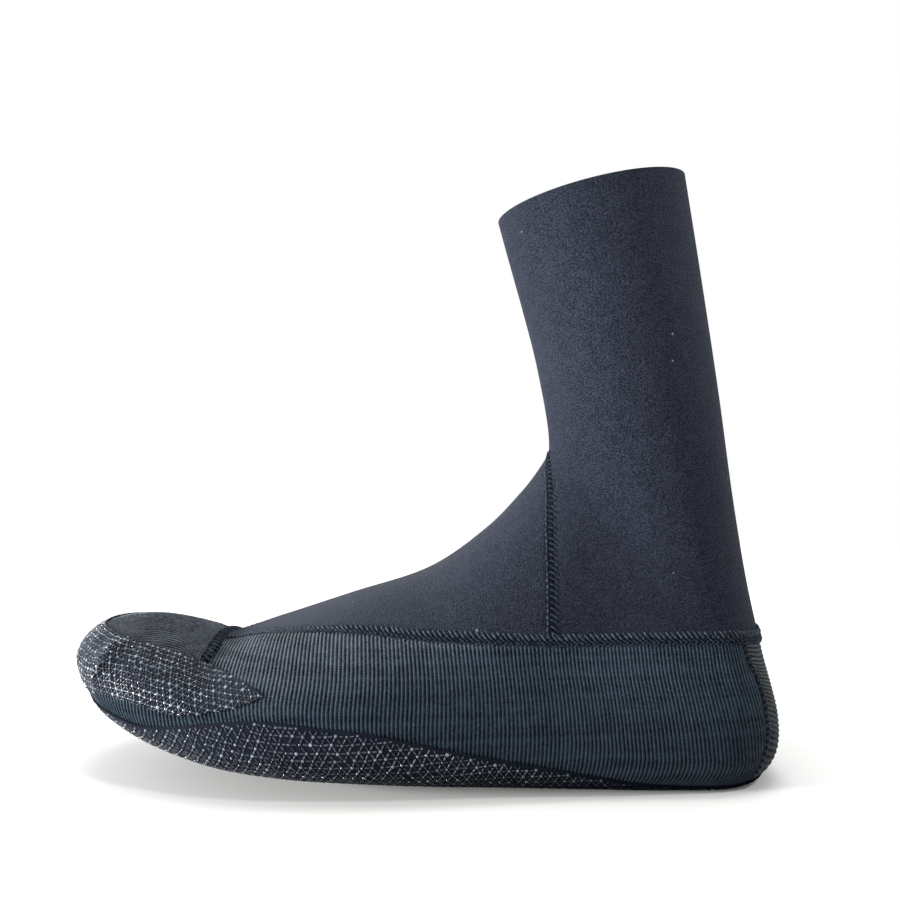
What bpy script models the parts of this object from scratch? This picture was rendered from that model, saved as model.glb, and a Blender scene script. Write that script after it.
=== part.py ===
"""A neoprene surf boot, the left one of a pair, standing on its sole.

The toe points along -X, the heel along +X, the wearer's outer side is -Y and +Z is up.
The boot is sewn from six neoprene panels. All of them lie on one surface, the boot's last, which is
lofted through cross-sections that run along the foot and turn up round the ankle into the shaft.
A place on the last is (t, b): t counts the cross-sections from the toe, and b goes round each one,
0 at the front or top, 1 at the sole or back by the outer side, and 2 at the front again by the inner side.
"""

import bmesh
import bpy
import numpy as np
from mathutils.kdtree import KDTree

# Driving dimensions, in metres.
WALL = 0.0030  # neoprene with fabric on both faces
PANEL_GAP = 0.0007  # between two panels that a seam joins
CLEARANCE = 0.0004  # between a panel and what lies on it
INNER_CLEARANCE = 0.0006  # and between a panel and what lies inside it
SEAM_WIDTH = 0.0042
SEAM_PROFILE = (0.0003, 0.0008, 0.0003)  # a seam's thickness at one edge, its middle and the other edge
SEAM_TRIM = 0.0042  # how far short of another seam's middle a seam stops
PRINT_TRIM = 0.0026  # and short of a rubber print
TAPE_TRIM = 0.0055  # and, inside the boot, short of a tape's middle
TAPE_WIDTH = 0.0050
TAPE_THICKNESS = 0.0004
PRINT_THICKNESS = 0.0005
SOLE_WEAR_DEPTH = 0.0019  # how far the rounded sole is pressed flat where the boot stands

# Cross-sections from the toe to the cuff. Each is a closed oval in a plane across the boot:
# the top or front point (x, z), the sole or back point (x, z), half the width, the middle's y,
# how far up the widest place is (0 to 1), and how square the lower and the upper half are (2 is an ellipse).
SECTIONS = [
    (-0.1346, 0.0448, -0.1346, 0.0448, 0.0000, 0.0055, 0.50, 2.0, 2.0),
    (-0.1340, 0.0470, -0.1335, 0.0425, 0.0090, 0.0055, 0.50, 2.0, 2.0),
    (-0.1300, 0.0532, -0.1265, 0.0315, 0.0205, 0.0050, 0.50, 2.1, 2.1),
    (-0.1220, 0.0575, -0.1170, 0.0220, 0.0300, 0.0045, 0.48, 2.3, 2.2),
    (-0.1080, 0.0585, -0.1010, 0.0145, 0.0375, 0.0035, 0.46, 2.5, 2.2),
    (-0.0920, 0.0560, -0.0840, 0.0095, 0.0420, 0.0025, 0.45, 2.6, 2.1),
    (-0.0785, 0.0521, -0.0680, 0.0068, 0.0450, 0.0015, 0.45, 2.7, 2.0),
    (-0.0580, 0.0584, -0.0460, 0.0042, 0.0470, 0.0005, 0.42, 2.7, 2.0),
    (-0.0300, 0.0677, -0.0220, 0.0028, 0.0465, 0.0000, 0.38, 2.8, 2.0),
    (0.0000, 0.0777, 0.0040, 0.0018, 0.0435, -0.0005, 0.33, 3.0, 2.0),
    (0.0220, 0.0927, 0.0300, 0.0011, 0.0405, -0.0005, 0.28, 3.2, 2.0),
    (0.0360, 0.1070, 0.0580, 0.0006, 0.0380, -0.0005, 0.24, 3.6, 2.0),
    (0.0435, 0.1170, 0.0860, 0.0002, 0.0365, -0.0005, 0.24, 4.0, 2.0),
    (0.0463, 0.1225, 0.1130, 0.0003, 0.0355, -0.0005, 0.28, 3.8, 2.0),
    (0.0466, 0.1265, 0.1280, 0.0070, 0.0340, -0.0005, 0.34, 3.0, 2.0),
    (0.0463, 0.1310, 0.1315, 0.0220, 0.0330, -0.0005, 0.38, 2.6, 2.0),
    (0.0455, 0.1370, 0.1265, 0.0460, 0.0320, -0.0005, 0.42, 2.3, 2.0),
    (0.0440, 0.1455, 0.1210, 0.0720, 0.0320, -0.0005, 0.45, 2.2, 2.0),
    (0.0410, 0.1600, 0.1160, 0.1040, 0.0325, -0.0005, 0.48, 2.1, 2.0),
    (0.0363, 0.1780, 0.1110, 0.1430, 0.0335, -0.0005, 0.50, 2.0, 2.0),
    (0.0310, 0.1970, 0.1045, 0.1860, 0.0345, -0.0005, 0.50, 2.0, 2.0),
    (0.0270, 0.2115, 0.0980, 0.2270, 0.0350, -0.0005, 0.50, 2.0, 2.0),
]
SECTION_STEPS = 12  # rows of the last between two sections
AROUND = 192  # places round each row of the last

# Seam lines on the outer side, as points that the line passes through. The inner side mirrors them.
TOE_SEAM = [  # from the middle of the foot's top down to the corner under the toe print
    (-0.0797, 0.0015, 0.0522),
    (-0.0791, -0.0100, 0.0510),
    (-0.0791, -0.0185, 0.0493),
    (-0.0802, -0.0256, 0.0471),
]
TOE_CAP_EDGE = [  # from that corner round to the front of the toe
    (-0.0802, -0.0256, 0.0471),
    (-0.0845, -0.0330, 0.0428),
    (-0.0950, -0.0365, 0.0390),
    (-0.1070, -0.0320, 0.0390),
    (-0.1180, -0.0240, 0.0400),
    (-0.1270, -0.0130, 0.0405),
    (-0.1333, 0.0055, 0.0410),
]
COLLAR_SEAM = [  # from the toe seam back to the ankle seam
    (-0.0797, -0.0035, 0.0521),
    (-0.0627, -0.0124, 0.0555),
    (-0.0462, -0.0216, 0.0581),
    (-0.0309, -0.0275, 0.0594),
    (-0.0164, -0.0315, 0.0594),
    (-0.0010, -0.0345, 0.0584),
    (0.0200, -0.0362, 0.0576),
    (0.0440, -0.0358, 0.0566),
]
REAR_COLLAR_SEAM = [  # from the ankle seam to the heel seam
    (0.0440, -0.0358, 0.0566),
    (0.0780, -0.0348, 0.0572),
    (0.0960, -0.0341, 0.0573),
    (0.1125, -0.0296, 0.0566),
]
HEEL_COLLAR_SEAM = [  # round the back of the heel to its middle
    (0.1125, -0.0296, 0.0566),
    (0.1205, -0.0200, 0.0552),
    (0.1245, -0.0005, 0.0545),
]
ANKLE_SEAM = [  # from the collar up to the front of the ankle
    (0.0440, -0.0358, 0.0566),
    (0.0443, -0.0312, 0.0738),
    (0.0449, -0.0195, 0.1013),
    (0.0453, -0.0125, 0.1120),
    (0.0463, -0.0005, 0.1225),
]
HEEL_SEAM = [  # from the collar down to the sole's edge
    (0.1125, -0.0296, 0.0566),
    (0.1143, -0.0305, 0.0489),
    (0.1174, -0.0297, 0.0430),
    (0.1201, -0.0291, 0.0355),
    (0.1213, -0.0291, 0.0280),
    (0.1218, -0.0287, 0.0208),
    (0.1203, -0.0286, 0.0136),
    (0.1165, -0.0260, 0.0035),
]
SOLE_FRONT_EDGE = [  # from the front of the toe to below the toe seam
    (-0.1315, 0.0053, 0.0335),
    (-0.1262, -0.0140, 0.0325),
    (-0.1162, -0.0247, 0.0300),
    (-0.0996, -0.0342, 0.0265),
    (-0.0796, -0.0415, 0.0290),
]
SOLE_SIDE_EDGE = [  # from there to the heel seam
    (-0.0796, -0.0415, 0.0290),
    (-0.0570, -0.0456, 0.0312),
    (-0.0370, -0.0468, 0.0293),
    (-0.0176, -0.0460, 0.0267),
    (0.0154, -0.0421, 0.0187),
    (0.0490, -0.0374, 0.0115),
    (0.0785, -0.0325, 0.0056),
    (0.1000, -0.0300, 0.0035),
    (0.1165, -0.0260, 0.0035),
]
SOLE_HEEL_EDGE = [  # round the back of the heel to its middle
    (0.1165, -0.0260, 0.0035),
    (0.1225, -0.0160, 0.0045),
    (0.1260, -0.0005, 0.0055),
]
TOE_PRINT_TOP = [
    (-0.0548, -0.0427, 0.0391),
    (-0.0592, -0.0401, 0.0416),
    (-0.0651, -0.0365, 0.0434),
    (-0.0712, -0.0316, 0.0451),
    (-0.0802, -0.0254, 0.0472),
    (-0.0887, -0.0244, 0.0500),
    (-0.0996, -0.0224, 0.0527),
    (-0.1107, -0.0196, 0.0541),
    (-0.1170, -0.0133, 0.0558),
    (-0.1225, -0.0054, 0.0566),
    (-0.1242, 0.0050, 0.0564),
]
TOE_PRINT_BOTTOM = [
    (-0.0548, -0.0427, 0.0391),
    (-0.0603, -0.0432, 0.0366),
    (-0.0657, -0.0430, 0.0348),
    (-0.0706, -0.0426, 0.0337),
    (-0.0807, -0.0414, 0.0322),
    (-0.0914, -0.0384, 0.0325),
    (-0.1025, -0.0347, 0.0349),
    (-0.1085, -0.0320, 0.0357),
    (-0.1149, -0.0284, 0.0365),
    (-0.1192, -0.0252, 0.0367),
    (-0.1260, -0.0160, 0.0376),
    (-0.1325, 0.0055, 0.0385),
]

BOX_MIDDLE = (-0.0014, 0.0003)  # the middle of the finished boot's box, which is moved to the origin
BAND_ROWS = 5  # rows of faces in the rand's low band at the toe
PRINT_ROWS = 12  # and in the toe's print
PRINT_COLUMNS = 28
PRINT_BOW, BOW_POINTS = 0.3, 24  # how far a column of the toe print bows out before it is laid on the last
WELD = 0.00001
SHARP_ANGLE = 0.7
COLLECTION = "neoprene_boot"


def through(points, places):
    """A smooth curve through rows of numbers, read at places that count the rows from 0 (Catmull-Rom)."""
    rows = np.asarray(points, float)
    last = len(rows) - 1
    places = np.clip(np.asarray(places, float), 0, last)
    first = np.minimum(places.astype(int), last - 1)
    f = (places - first)[:, None]
    padded = np.vstack([2 * rows[0] - rows[1], rows, 2 * rows[-1] - rows[-2]])
    a, b, c, d = (padded[first + k] for k in range(4))
    return 0.5 * (2 * b + (c - a) * f + (2 * a - 5 * b + 4 * c - d) * f**2 + (3 * b - a - 3 * c + d) * f**3)


def half_oval(section):
    """One side of a cross-section from its top to its bottom, as (x, z) and how far out each point is."""
    top_x, top_z, low_x, low_z, half_width, _, widest, square_low, square_top = section
    angle = np.linspace(0, np.pi, 241)
    rise = np.cos(angle)
    power = 2 / np.where(rise < 0, square_low, square_top)
    out = half_width * np.sin(angle).clip(0) ** power
    height = np.sign(rise) * np.abs(rise) ** power
    up = np.where(height < 0, widest * (1 + height), widest + (1 - widest) * height)
    return low_x + (top_x - low_x) * up, low_z + (top_z - low_z) * up, out


def ring(section):
    """The whole cross-section as AROUND + 1 points, evenly spaced along its outline."""
    x, z, out = half_oval(section)
    steps = np.sqrt(np.diff(x) ** 2 + np.diff(z) ** 2 + np.diff(out) ** 2)
    length = np.concatenate([[0], np.cumsum(steps)])
    wanted = np.linspace(0, length[-1], AROUND // 2 + 1)
    x, z, out = (np.interp(wanted, length, values) for values in (x, z, out))
    outer = np.stack([x, section[5] - out, z], axis=1)
    inner = np.stack([x, section[5] + out, z], axis=1)
    return np.vstack([outer, inner[-2::-1]])


class Last:
    """The boot's outer surface, as a fine net of points with their outward normals."""

    def __init__(self):
        self.rows = (len(SECTIONS) - 1) * SECTION_STEPS
        sections = through(SECTIONS, np.linspace(0, len(SECTIONS) - 1, self.rows + 1))
        net = np.stack([ring(section) for section in sections])
        sole = PRINT_THICKNESS + CLEARANCE
        net[..., 2] = np.maximum(net[..., 2], SOLE_WEAR_DEPTH) - SOLE_WEAR_DEPTH + sole
        net[..., :2] -= BOX_MIDDLE
        self.net = net
        self.normals = self.net_normals()
        self.tree = KDTree(net[:, :-1].size // 3)
        for index, point in enumerate(net[:, :-1].reshape(-1, 3)):
            self.tree.insert(point, index)
        self.tree.balance()

    def placed(self, points):
        """Points given on the sections, moved with the boot to where it stands."""
        sole = PRINT_THICKNESS + CLEARANCE
        return points + np.array([-BOX_MIDDLE[0], -BOX_MIDDLE[1], sole - SOLE_WEAR_DEPTH])

    def net_normals(self):
        wrapped = np.concatenate([self.net[:, -2:-1], self.net, self.net[:, 1:2]], axis=1)
        along = np.gradient(self.net, axis=0)
        around = wrapped[:, 2:] - wrapped[:, :-2]
        normals = np.cross(around, along)
        normals[0] = normals[1].mean(axis=0)
        return normals / np.linalg.norm(normals, axis=2, keepdims=True)

    def read(self, values, chart):
        """Values of the net at (t, b) places, blended between its points."""
        t = np.clip(chart[..., 0] * SECTION_STEPS, 0, self.rows - 1e-9)
        b = np.mod(chart[..., 1], 2) * AROUND / 2
        i, j = t.astype(int), np.minimum(b.astype(int), AROUND - 1)
        f, g = (t - i)[..., None], (b - j)[..., None]
        near = values[i, j] * (1 - g) + values[i, j + 1] * g
        far = values[i + 1, j] * (1 - g) + values[i + 1, j + 1] * g
        return near * (1 - f) + far * f

    def at(self, chart):
        """Points on the last and outward normals there, for an array of (t, b)."""
        normals = self.read(self.normals, chart)
        return self.read(self.net, chart), normals / np.linalg.norm(normals, axis=-1, keepdims=True)

    def locate(self, points):
        """The (t, b) of the places on the last nearest to these points."""
        found = np.array([self.tree.find(point)[1] for point in points])
        chart = np.stack([found // AROUND / SECTION_STEPS, found % AROUND * 2 / AROUND], axis=1)
        nearest = chart.copy()
        step = np.array([0.5 / SECTION_STEPS, 1 / AROUND])
        for _ in range(3):
            here = self.read(self.net, chart)
            along = self.read(self.net, chart + step * (1, 0)) - self.read(self.net, chart - step * (1, 0))
            around = self.read(self.net, chart + step * (0, 1)) - self.read(self.net, chart - step * (0, 1))
            basis = np.stack([along / (2 * step[0]), around / (2 * step[1])], axis=2)
            move = np.einsum("nij,nj->ni", np.linalg.pinv(basis), points - here)
            chart = chart + np.clip(move, -2 * step, 2 * step)
            chart[:, 0] = chart[:, 0].clip(0, len(SECTIONS) - 1)
        gone = np.linalg.norm(points - self.read(self.net, chart), axis=1)
        stayed = np.linalg.norm(points - self.read(self.net, nearest), axis=1)
        return np.where((gone < stayed)[:, None], chart, nearest)


def spaced(fine, count):
    """Count points evenly spaced along a line of many points."""
    length = np.concatenate([[0], np.cumsum(np.linalg.norm(np.diff(fine, axis=0), axis=1))])
    wanted = np.linspace(0, length[-1], count)
    return np.stack([np.interp(wanted, length, fine[:, k]) for k in range(3)], axis=1)


def even(points, count):
    """A smooth curve through points, as count points evenly spaced along it."""
    return spaced(through(points, np.linspace(0, len(points) - 1, 8 * count)), count)


def centred(chart):
    """Puts places that lie next to the boot's middle line exactly on it."""
    middle = np.round(chart[..., 1])
    beside = np.abs(chart[..., 1] - middle) < 0.02
    return np.stack([chart[..., 0], np.where(beside, middle, chart[..., 1])], axis=-1)


def line(last, points, count):
    """A seam line as count places (t, b), evenly spaced along it."""
    chart = last.locate(last.placed(even(points, count)))
    chart[:, 1] = np.unwrap(chart[:, 1], period=2)
    return centred(chart)


def coons(low, high, start, end):
    """Places that fill the four-sided patch between these lines, as rows from low to high."""
    v = np.linspace(0, 1, len(start))[:, None, None]
    u = np.linspace(0, 1, len(low))[None, :, None]
    rails = (1 - v) * low[None] + v * high[None]
    ends = (1 - u) * start[:, None] + u * end[:, None]
    corners = (1 - v) * ((1 - u) * low[0] + u * low[-1]) + v * ((1 - u) * high[0] + u * high[-1])
    return rails + ends - corners


def ruled(low, high, rows, power=1.0):
    """Places on straight rows between two equal lines, closer together near low with a higher power."""
    v = np.linspace(0, 1, rows)[:, None, None] ** power
    return (1 - v) * low[None] + v * high[None]


def sheet(patches):
    """Joins patches, each (points, normals) in rows, into one open sheet of welded points and faces."""
    faces, start = [], 0
    for place, normal in patches:
        rows, columns = place.shape[:2]
        index = start + np.arange(rows * columns).reshape(rows, columns)
        corners = (index[:-1, :-1], index[:-1, 1:], index[1:, 1:], index[1:, :-1])
        facing = np.cross(place[1:, 1:] - place[:-1, :-1], place[1:, :-1] - place[:-1, 1:])
        outward = (facing * normal[1:, 1:]).sum() > 0
        corners = corners if outward else corners[::-1]
        faces.append(np.stack([corner.ravel() for corner in corners], axis=1))
        start += rows * columns
    points = np.vstack([place.reshape(-1, 3) for place, _ in patches])
    normals = np.vstack([normal.reshape(-1, 3) for _, normal in patches])
    work = bmesh.new()
    corners = [work.verts.new(point) for point in points]
    work.verts.index_update()
    same = bmesh.ops.find_doubles(work, verts=corners, dist=WELD)["targetmap"]
    welded = np.arange(start)
    for corner, target in same.items():
        welded[corner.index] = target.index
    work.free()
    kept, index = np.unique(welded, return_inverse=True)
    faces = [list(dict.fromkeys(face)) for face in index.reshape(-1)[np.vstack(faces)].tolist()]
    return points[kept], normals[kept], [face for face in faces if len(face) > 2], kept


def rim(faces):
    """The edges that only one face has, in that face's direction."""
    edges = [(a, b) for face in faces for a, b in zip(face, face[1:] + face[:1])]
    known = set(edges)
    return [(a, b) for a, b in edges if (b, a) not in known]


def draw_back(points, normals, faces, distance):
    """Moves a sheet's border inwards along the surface."""
    inward = np.zeros_like(points)
    middle = {}
    for face in faces:
        centre = points[face].mean(axis=0)
        for a, b in zip(face, face[1:] + face[:1]):
            middle[a, b] = centre
    for a, b in rim(faces):
        across = np.cross(normals[a] + normals[b], points[b] - points[a])
        across *= np.sign(across @ (middle[a, b] - points[a]))
        across /= max(np.linalg.norm(across), 1e-12)
        inward[a] += across
        inward[b] += across
    size = np.linalg.norm(inward, axis=1, keepdims=True)
    return points + distance * inward * 2 / np.maximum(size, 1.2) ** 2


def solid(name, patches, low, high, material, inset=0.0):
    """A closed solid between two heights over the sheet that the patches make."""
    points, normals, faces, kept = sheet(patches)
    count = len(points)
    low, high = (height[kept] if np.ndim(height) else np.full(count, height) for height in (low, high))
    points = draw_back(points, normals, faces, inset) if inset else points
    upper = points + normals * high[:, None]
    lower = points + normals * low[:, None]
    under = [[index + count for index in reversed(face)] for face in faces]
    sides = [[b, a, a + count, b + count] for a, b in rim(faces)]
    mesh = bpy.data.meshes.new(name)
    mesh.from_pydata(np.vstack([upper, lower]).tolist(), [], faces + under + sides)
    work = bmesh.new()
    work.from_mesh(mesh)
    bmesh.ops.triangulate(work, faces=work.faces, quad_method="SHORT_EDGE")
    bmesh.ops.recalc_face_normals(work, faces=work.faces)
    work.to_mesh(mesh)
    work.free()
    mesh.shade_smooth()
    mesh.set_sharp_from_angle(angle=SHARP_ANGLE)
    mesh.materials.append(material)
    made = bpy.data.objects.new(name, mesh)
    bpy.data.collections[COLLECTION].objects.link(made)
    return made


def finish(name, colour, roughness, sheen=0.0):
    """A material for one sub-part."""
    material = bpy.data.materials.new(name)
    material.use_nodes = True
    shader = material.node_tree.nodes["Principled BSDF"]
    shader.inputs["Base Color"].default_value = (*colour, 1.0)
    shader.inputs["Roughness"].default_value = roughness
    shader.inputs["Metallic"].default_value = 0.0
    shader.inputs["Sheen Weight"].default_value = sheen
    return material


def jersey(name):
    return finish(name, (0.030, 0.033, 0.042), 0.85, 0.3)


def ribbed_fabric(name):
    return finish(name, (0.024, 0.032, 0.040), 0.80, 0.2)


def thread(name):
    return finish(name, (0.010, 0.011, 0.014), 0.60)


def rubber_print(name):
    return finish(name, (0.022, 0.024, 0.028), 0.35)


def tape(name):
    return finish(name, (0.014, 0.015, 0.017), 0.50)


def strip(last, places, width):
    """A strip along a line on the last, as three rows of points and normals."""
    points, normals = last.at(places)
    across = np.cross(normals, np.gradient(points, axis=0))
    across /= np.linalg.norm(across, axis=1, keepdims=True)
    rows = [last.locate(points + across * side * width / 2) for side in (-1, 0, 1)]
    return last.at(np.stack(rows))


def trimmed(last, places, start, end):
    """A line shortened by these distances at its two ends."""
    points, _ = last.at(places)
    length = np.concatenate([[0], np.cumsum(np.linalg.norm(np.diff(points, axis=0), axis=1))])
    wanted = np.linspace(start, length[-1] - end, len(places))
    return np.stack([np.interp(wanted, length, places[:, k]) for k in range(2)], axis=1)


def stitched_seam(last, name, places, cover_ends, loop_ends):
    """A flat stitched seam: its thread cover outside the panels, and its loops inside them."""
    thick = np.repeat(SEAM_PROFILE, len(places))
    inner = -WALL - INNER_CLEARANCE
    cover = strip(last, trimmed(last, places, *cover_ends), SEAM_WIDTH)
    loops = strip(last, trimmed(last, places, *loop_ends), SEAM_WIDTH)
    solid(name + "_cover", [cover], CLEARANCE, CLEARANCE + thick, thread(name + "_cover_thread"))
    solid(name + "_loops", [loops], inner - thick, inner, thread(name + "_looper_thread"))


def glued_tape(last, name, places, width):
    """A flat tape glued inside the boot, over a joint that has no stitches to see."""
    inner = -WALL - INNER_CLEARANCE
    solid(name, [strip(last, places, width)], inner - TAPE_THICKNESS, inner, tape(name))


def shaft_panel(last, seams):
    """The shaft, from the ankle and collar seams up to the raw edge of the cuff."""
    low = joined(seams["ankle"][::-1], seams["rear_collar"], seams["heel_collar"])
    low = joined(low, other_side(low))
    cuff = np.stack([np.full(len(low), len(SECTIONS) - 1.0), low[:, 1]], axis=1)
    patch = last.at(ruled(low, cuff, 8))
    solid("shaft_panel", [patch], -WALL, 0.0, jersey("shaft_jersey"), PANEL_GAP / 2)


def instep_panel(last, seams):
    """The instep, a tongue over the foot from the toe seam back to the ankle seam."""
    arch = joined(seams["ankle"], mirrored(seams["ankle"])[::-1])
    tip = straight(seams["collar"][0], mirrored(seams["collar"])[0], len(arch))
    patch = last.at(coons(tip, arch, seams["collar"], mirrored(seams["collar"])))
    solid("instep_panel", [patch], -WALL, 0.0, jersey("instep_jersey"), PANEL_GAP / 2)


def toe_cap(last, seams):
    """The toe cap, from the tip of the toe back to its own edge."""
    edge = joined(seams["toe"], seams["toe_cap_edge"])
    edge = joined(edge, other_side(edge))
    patch = last.at(ruled(edge * (0, 1), edge, 14, 1.3))
    solid("toe_cap", [patch], -WALL, 0.0, ribbed_fabric("toe_ribs"), PANEL_GAP / 2)


def rand(last, seams):
    """The rand: a wall from heel seam to heel seam, and a low band round the front of the toe."""
    corner = straight(seams["sole_front"][-1], seams["toe"][-1], BAND_ROWS)
    front_end = straight(seams["sole_front"][0], seams["toe_cap_edge"][-1], BAND_ROWS)
    front = coons(seams["sole_front"], seams["toe_cap_edge"][::-1], front_end, corner)
    start = joined(corner, seams["toe_to_collar"][::-1])
    top = joined(seams["collar"], seams["rear_collar"])
    heel = resampled(seams["heel"][::-1], len(start))
    side = coons(resampled(seams["sole_side"], len(top)), top, start, heel)
    patches = [last.at(places) for half in (front, side) for places in (half, mirrored(half))]
    solid("rand", patches, -WALL, 0.0, ribbed_fabric("rand_ribs"), PANEL_GAP / 2)


def heel_tab(last, seams):
    """The heel tab, the strip up the back between the two heel seams."""
    low, high = seams["sole_heel"], seams["heel_collar"]
    middle = straight(low[-1], high[-1], len(seams["heel"]))
    half = coons(low, high, seams["heel"][::-1], middle)
    patches = [last.at(half), last.at(mirrored(half))]
    solid("heel_tab", patches, -WALL, 0.0, ribbed_fabric("heel_ribs"), PANEL_GAP / 2)


def sole_and_print(last, seams):
    """The sole panel inside its edge, and the rubber print on its underside, which the boot stands on."""
    edge = joined(seams["sole_front"], seams["sole_side"], seams["sole_heel"])
    middle = np.stack([edge[:, 0], np.ones(len(edge))], axis=1)
    half = ruled(edge, middle, 6, 1.6)
    patches = [last.at(half), last.at(mirrored(half))]
    solid("sole_panel", patches, -WALL, 0.0, ribbed_fabric("sole_ribs"), PANEL_GAP / 2)
    low = CLEARANCE
    solid("sole_grip_print", patches, low, low + PRINT_THICKNESS, rubber_print("sole_rubber"), 2 * PANEL_GAP)


def bowed(last, start, end):
    """Points on a line that bows outwards from the last between two points on it."""
    outward = last.at(last.locate(np.stack([start, end])))[1].mean(axis=0)
    bow = PRINT_BOW * np.linalg.norm(end - start) * np.sin(np.linspace(0, np.pi, BOW_POINTS))
    return straight(start, end, BOW_POINTS) + bow[:, None] * outward


def toe_grip_print(last):
    """The rubber print that wraps the toe, from a point on the outer side to one on the inner side."""
    top, low = (last.placed(even(edge, PRINT_COLUMNS)) for edge in (TOE_PRINT_TOP, TOE_PRINT_BOTTOM))
    columns = []
    for ends in zip(top, low):
        column, _ = last.at(last.locate(bowed(last, *ends)))
        columns.append(last.locate(spaced(column, PRINT_ROWS)))
    half = np.stack(columns, axis=1)
    half[:, -1, 1] = np.round(half[:, -1, 1])
    patches = [last.at(half), last.at(mirrored(half))]
    high = CLEARANCE + PRINT_THICKNESS
    solid("toe_grip_print", patches, CLEARANCE, high, rubber_print("toe_rubber"), CLEARANCE)


def straight(start, end, count):
    """Places on the straight row between two places."""
    share = np.linspace(0, 1, count)[:, None]
    return start * (1 - share) + end * share


def resampled(places, count):
    """The same line with another number of places."""
    wanted = np.linspace(0, len(places) - 1, count)
    return np.stack([np.interp(wanted, np.arange(len(places)), places[:, k]) for k in range(2)], axis=1)


def joined(*lines):
    """Lines that follow one another as one line, without their shared places twice."""
    return np.vstack([lines[0]] + [places[1:] for places in lines[1:]])


def mirrored(places):
    """The same places on the other side of the boot, by way of the front."""
    return places * (1, -1)


def other_side(places):
    """A line that ends at the back, carried on round the other side."""
    return places[::-1] * (1, -1) + (0, 2)


def seam_lines(last):
    """Every seam line of the outer side, as places on the last."""
    seams = {
        "toe": line(last, TOE_SEAM, 7),
        "toe_cap_edge": line(last, TOE_CAP_EDGE, 14),
        "collar": line(last, COLLAR_SEAM, 22),
        "rear_collar": line(last, REAR_COLLAR_SEAM, 8),
        "heel_collar": line(last, HEEL_COLLAR_SEAM, 7),
        "ankle": line(last, ANKLE_SEAM, 14),
        "heel": line(last, HEEL_SEAM, 9),
        "sole_front": line(last, SOLE_FRONT_EDGE, 14),
        "sole_side": line(last, SOLE_SIDE_EDGE, 24),
        "sole_heel": line(last, SOLE_HEEL_EDGE, 7),
    }
    start = seams["collar"][0]
    seams["toe_to_collar"] = joined(start[None], seams["toe"][seams["toe"][:, 1] > 2 * start[1]])
    return seams


def seams_and_tapes(last, seams):
    """The stitched seams, and the glued tapes of the two joints that have none."""
    toe = joined(mirrored(seams["toe"])[::-1], seams["toe"])
    stitched_seam(last, "toe_seam", toe, (PRINT_TRIM, PRINT_TRIM), (TAPE_TRIM, TAPE_TRIM))
    collar = joined(seams["collar"], seams["rear_collar"], seams["heel_collar"])
    both_ends = (SEAM_TRIM, SEAM_TRIM)
    stitched_seam(last, "collar_seam", joined(collar, other_side(collar)), both_ends, both_ends)
    ankle = joined(seams["ankle"], mirrored(seams["ankle"])[::-1])
    stitched_seam(last, "ankle_seam", ankle, both_ends, both_ends)
    for side, places in (("outer", seams["heel"]), ("inner", mirrored(seams["heel"]))):
        stitched_seam(last, side + "_heel_seam", places, (SEAM_TRIM, PRINT_TRIM), (SEAM_TRIM, TAPE_TRIM))
    edge = seams["toe_cap_edge"]
    glued_tape(last, "toe_cap_tape", joined(edge, other_side(edge)), TAPE_WIDTH)
    edge = joined(seams["sole_front"], seams["sole_side"], seams["sole_heel"])
    glued_tape(last, "sole_tape", joined(edge, other_side(edge)), TAPE_WIDTH)


def build():
    for obj in list(bpy.data.objects):
        bpy.data.objects.remove(obj)
    collection = bpy.data.collections.new(COLLECTION)
    bpy.context.scene.collection.children.link(collection)
    last = Last()
    seams = seam_lines(last)
    shaft_panel(last, seams)
    instep_panel(last, seams)
    toe_cap(last, seams)
    rand(last, seams)
    heel_tab(last, seams)
    sole_and_print(last, seams)
    toe_grip_print(last)
    seams_and_tapes(last, seams)


if __name__ == "__main__":
    build()
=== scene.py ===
"""The looks of the neoprene surf boot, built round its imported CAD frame.

Every panel, print and seam lies on one surface, the boot's last, as in the CAD. A place on it is (t, b):
t counts the cross-sections from the toe, and b goes round each one, 0 at the front or top, 1 at the sole or
back by the outer side, and 2 at the front again by the inner side.
"""

import math

import bmesh
import bpy
import numpy as np
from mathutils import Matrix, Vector
from mathutils.kdtree import KDTree


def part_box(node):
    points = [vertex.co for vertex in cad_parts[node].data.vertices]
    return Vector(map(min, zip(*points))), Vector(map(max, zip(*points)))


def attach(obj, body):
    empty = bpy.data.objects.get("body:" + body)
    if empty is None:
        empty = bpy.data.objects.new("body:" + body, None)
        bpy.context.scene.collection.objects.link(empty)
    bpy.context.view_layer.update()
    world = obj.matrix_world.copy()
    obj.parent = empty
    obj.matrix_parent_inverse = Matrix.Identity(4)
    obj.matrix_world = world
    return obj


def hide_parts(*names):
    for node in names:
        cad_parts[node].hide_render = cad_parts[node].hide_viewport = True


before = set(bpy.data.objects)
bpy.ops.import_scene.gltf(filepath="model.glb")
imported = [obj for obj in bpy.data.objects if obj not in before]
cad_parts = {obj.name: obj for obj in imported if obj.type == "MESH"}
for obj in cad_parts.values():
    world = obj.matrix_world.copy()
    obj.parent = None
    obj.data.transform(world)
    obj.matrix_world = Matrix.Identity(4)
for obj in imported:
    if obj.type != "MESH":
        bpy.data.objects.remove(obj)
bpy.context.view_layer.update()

WALL = 0.0030  # neoprene with fabric on both faces
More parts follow.
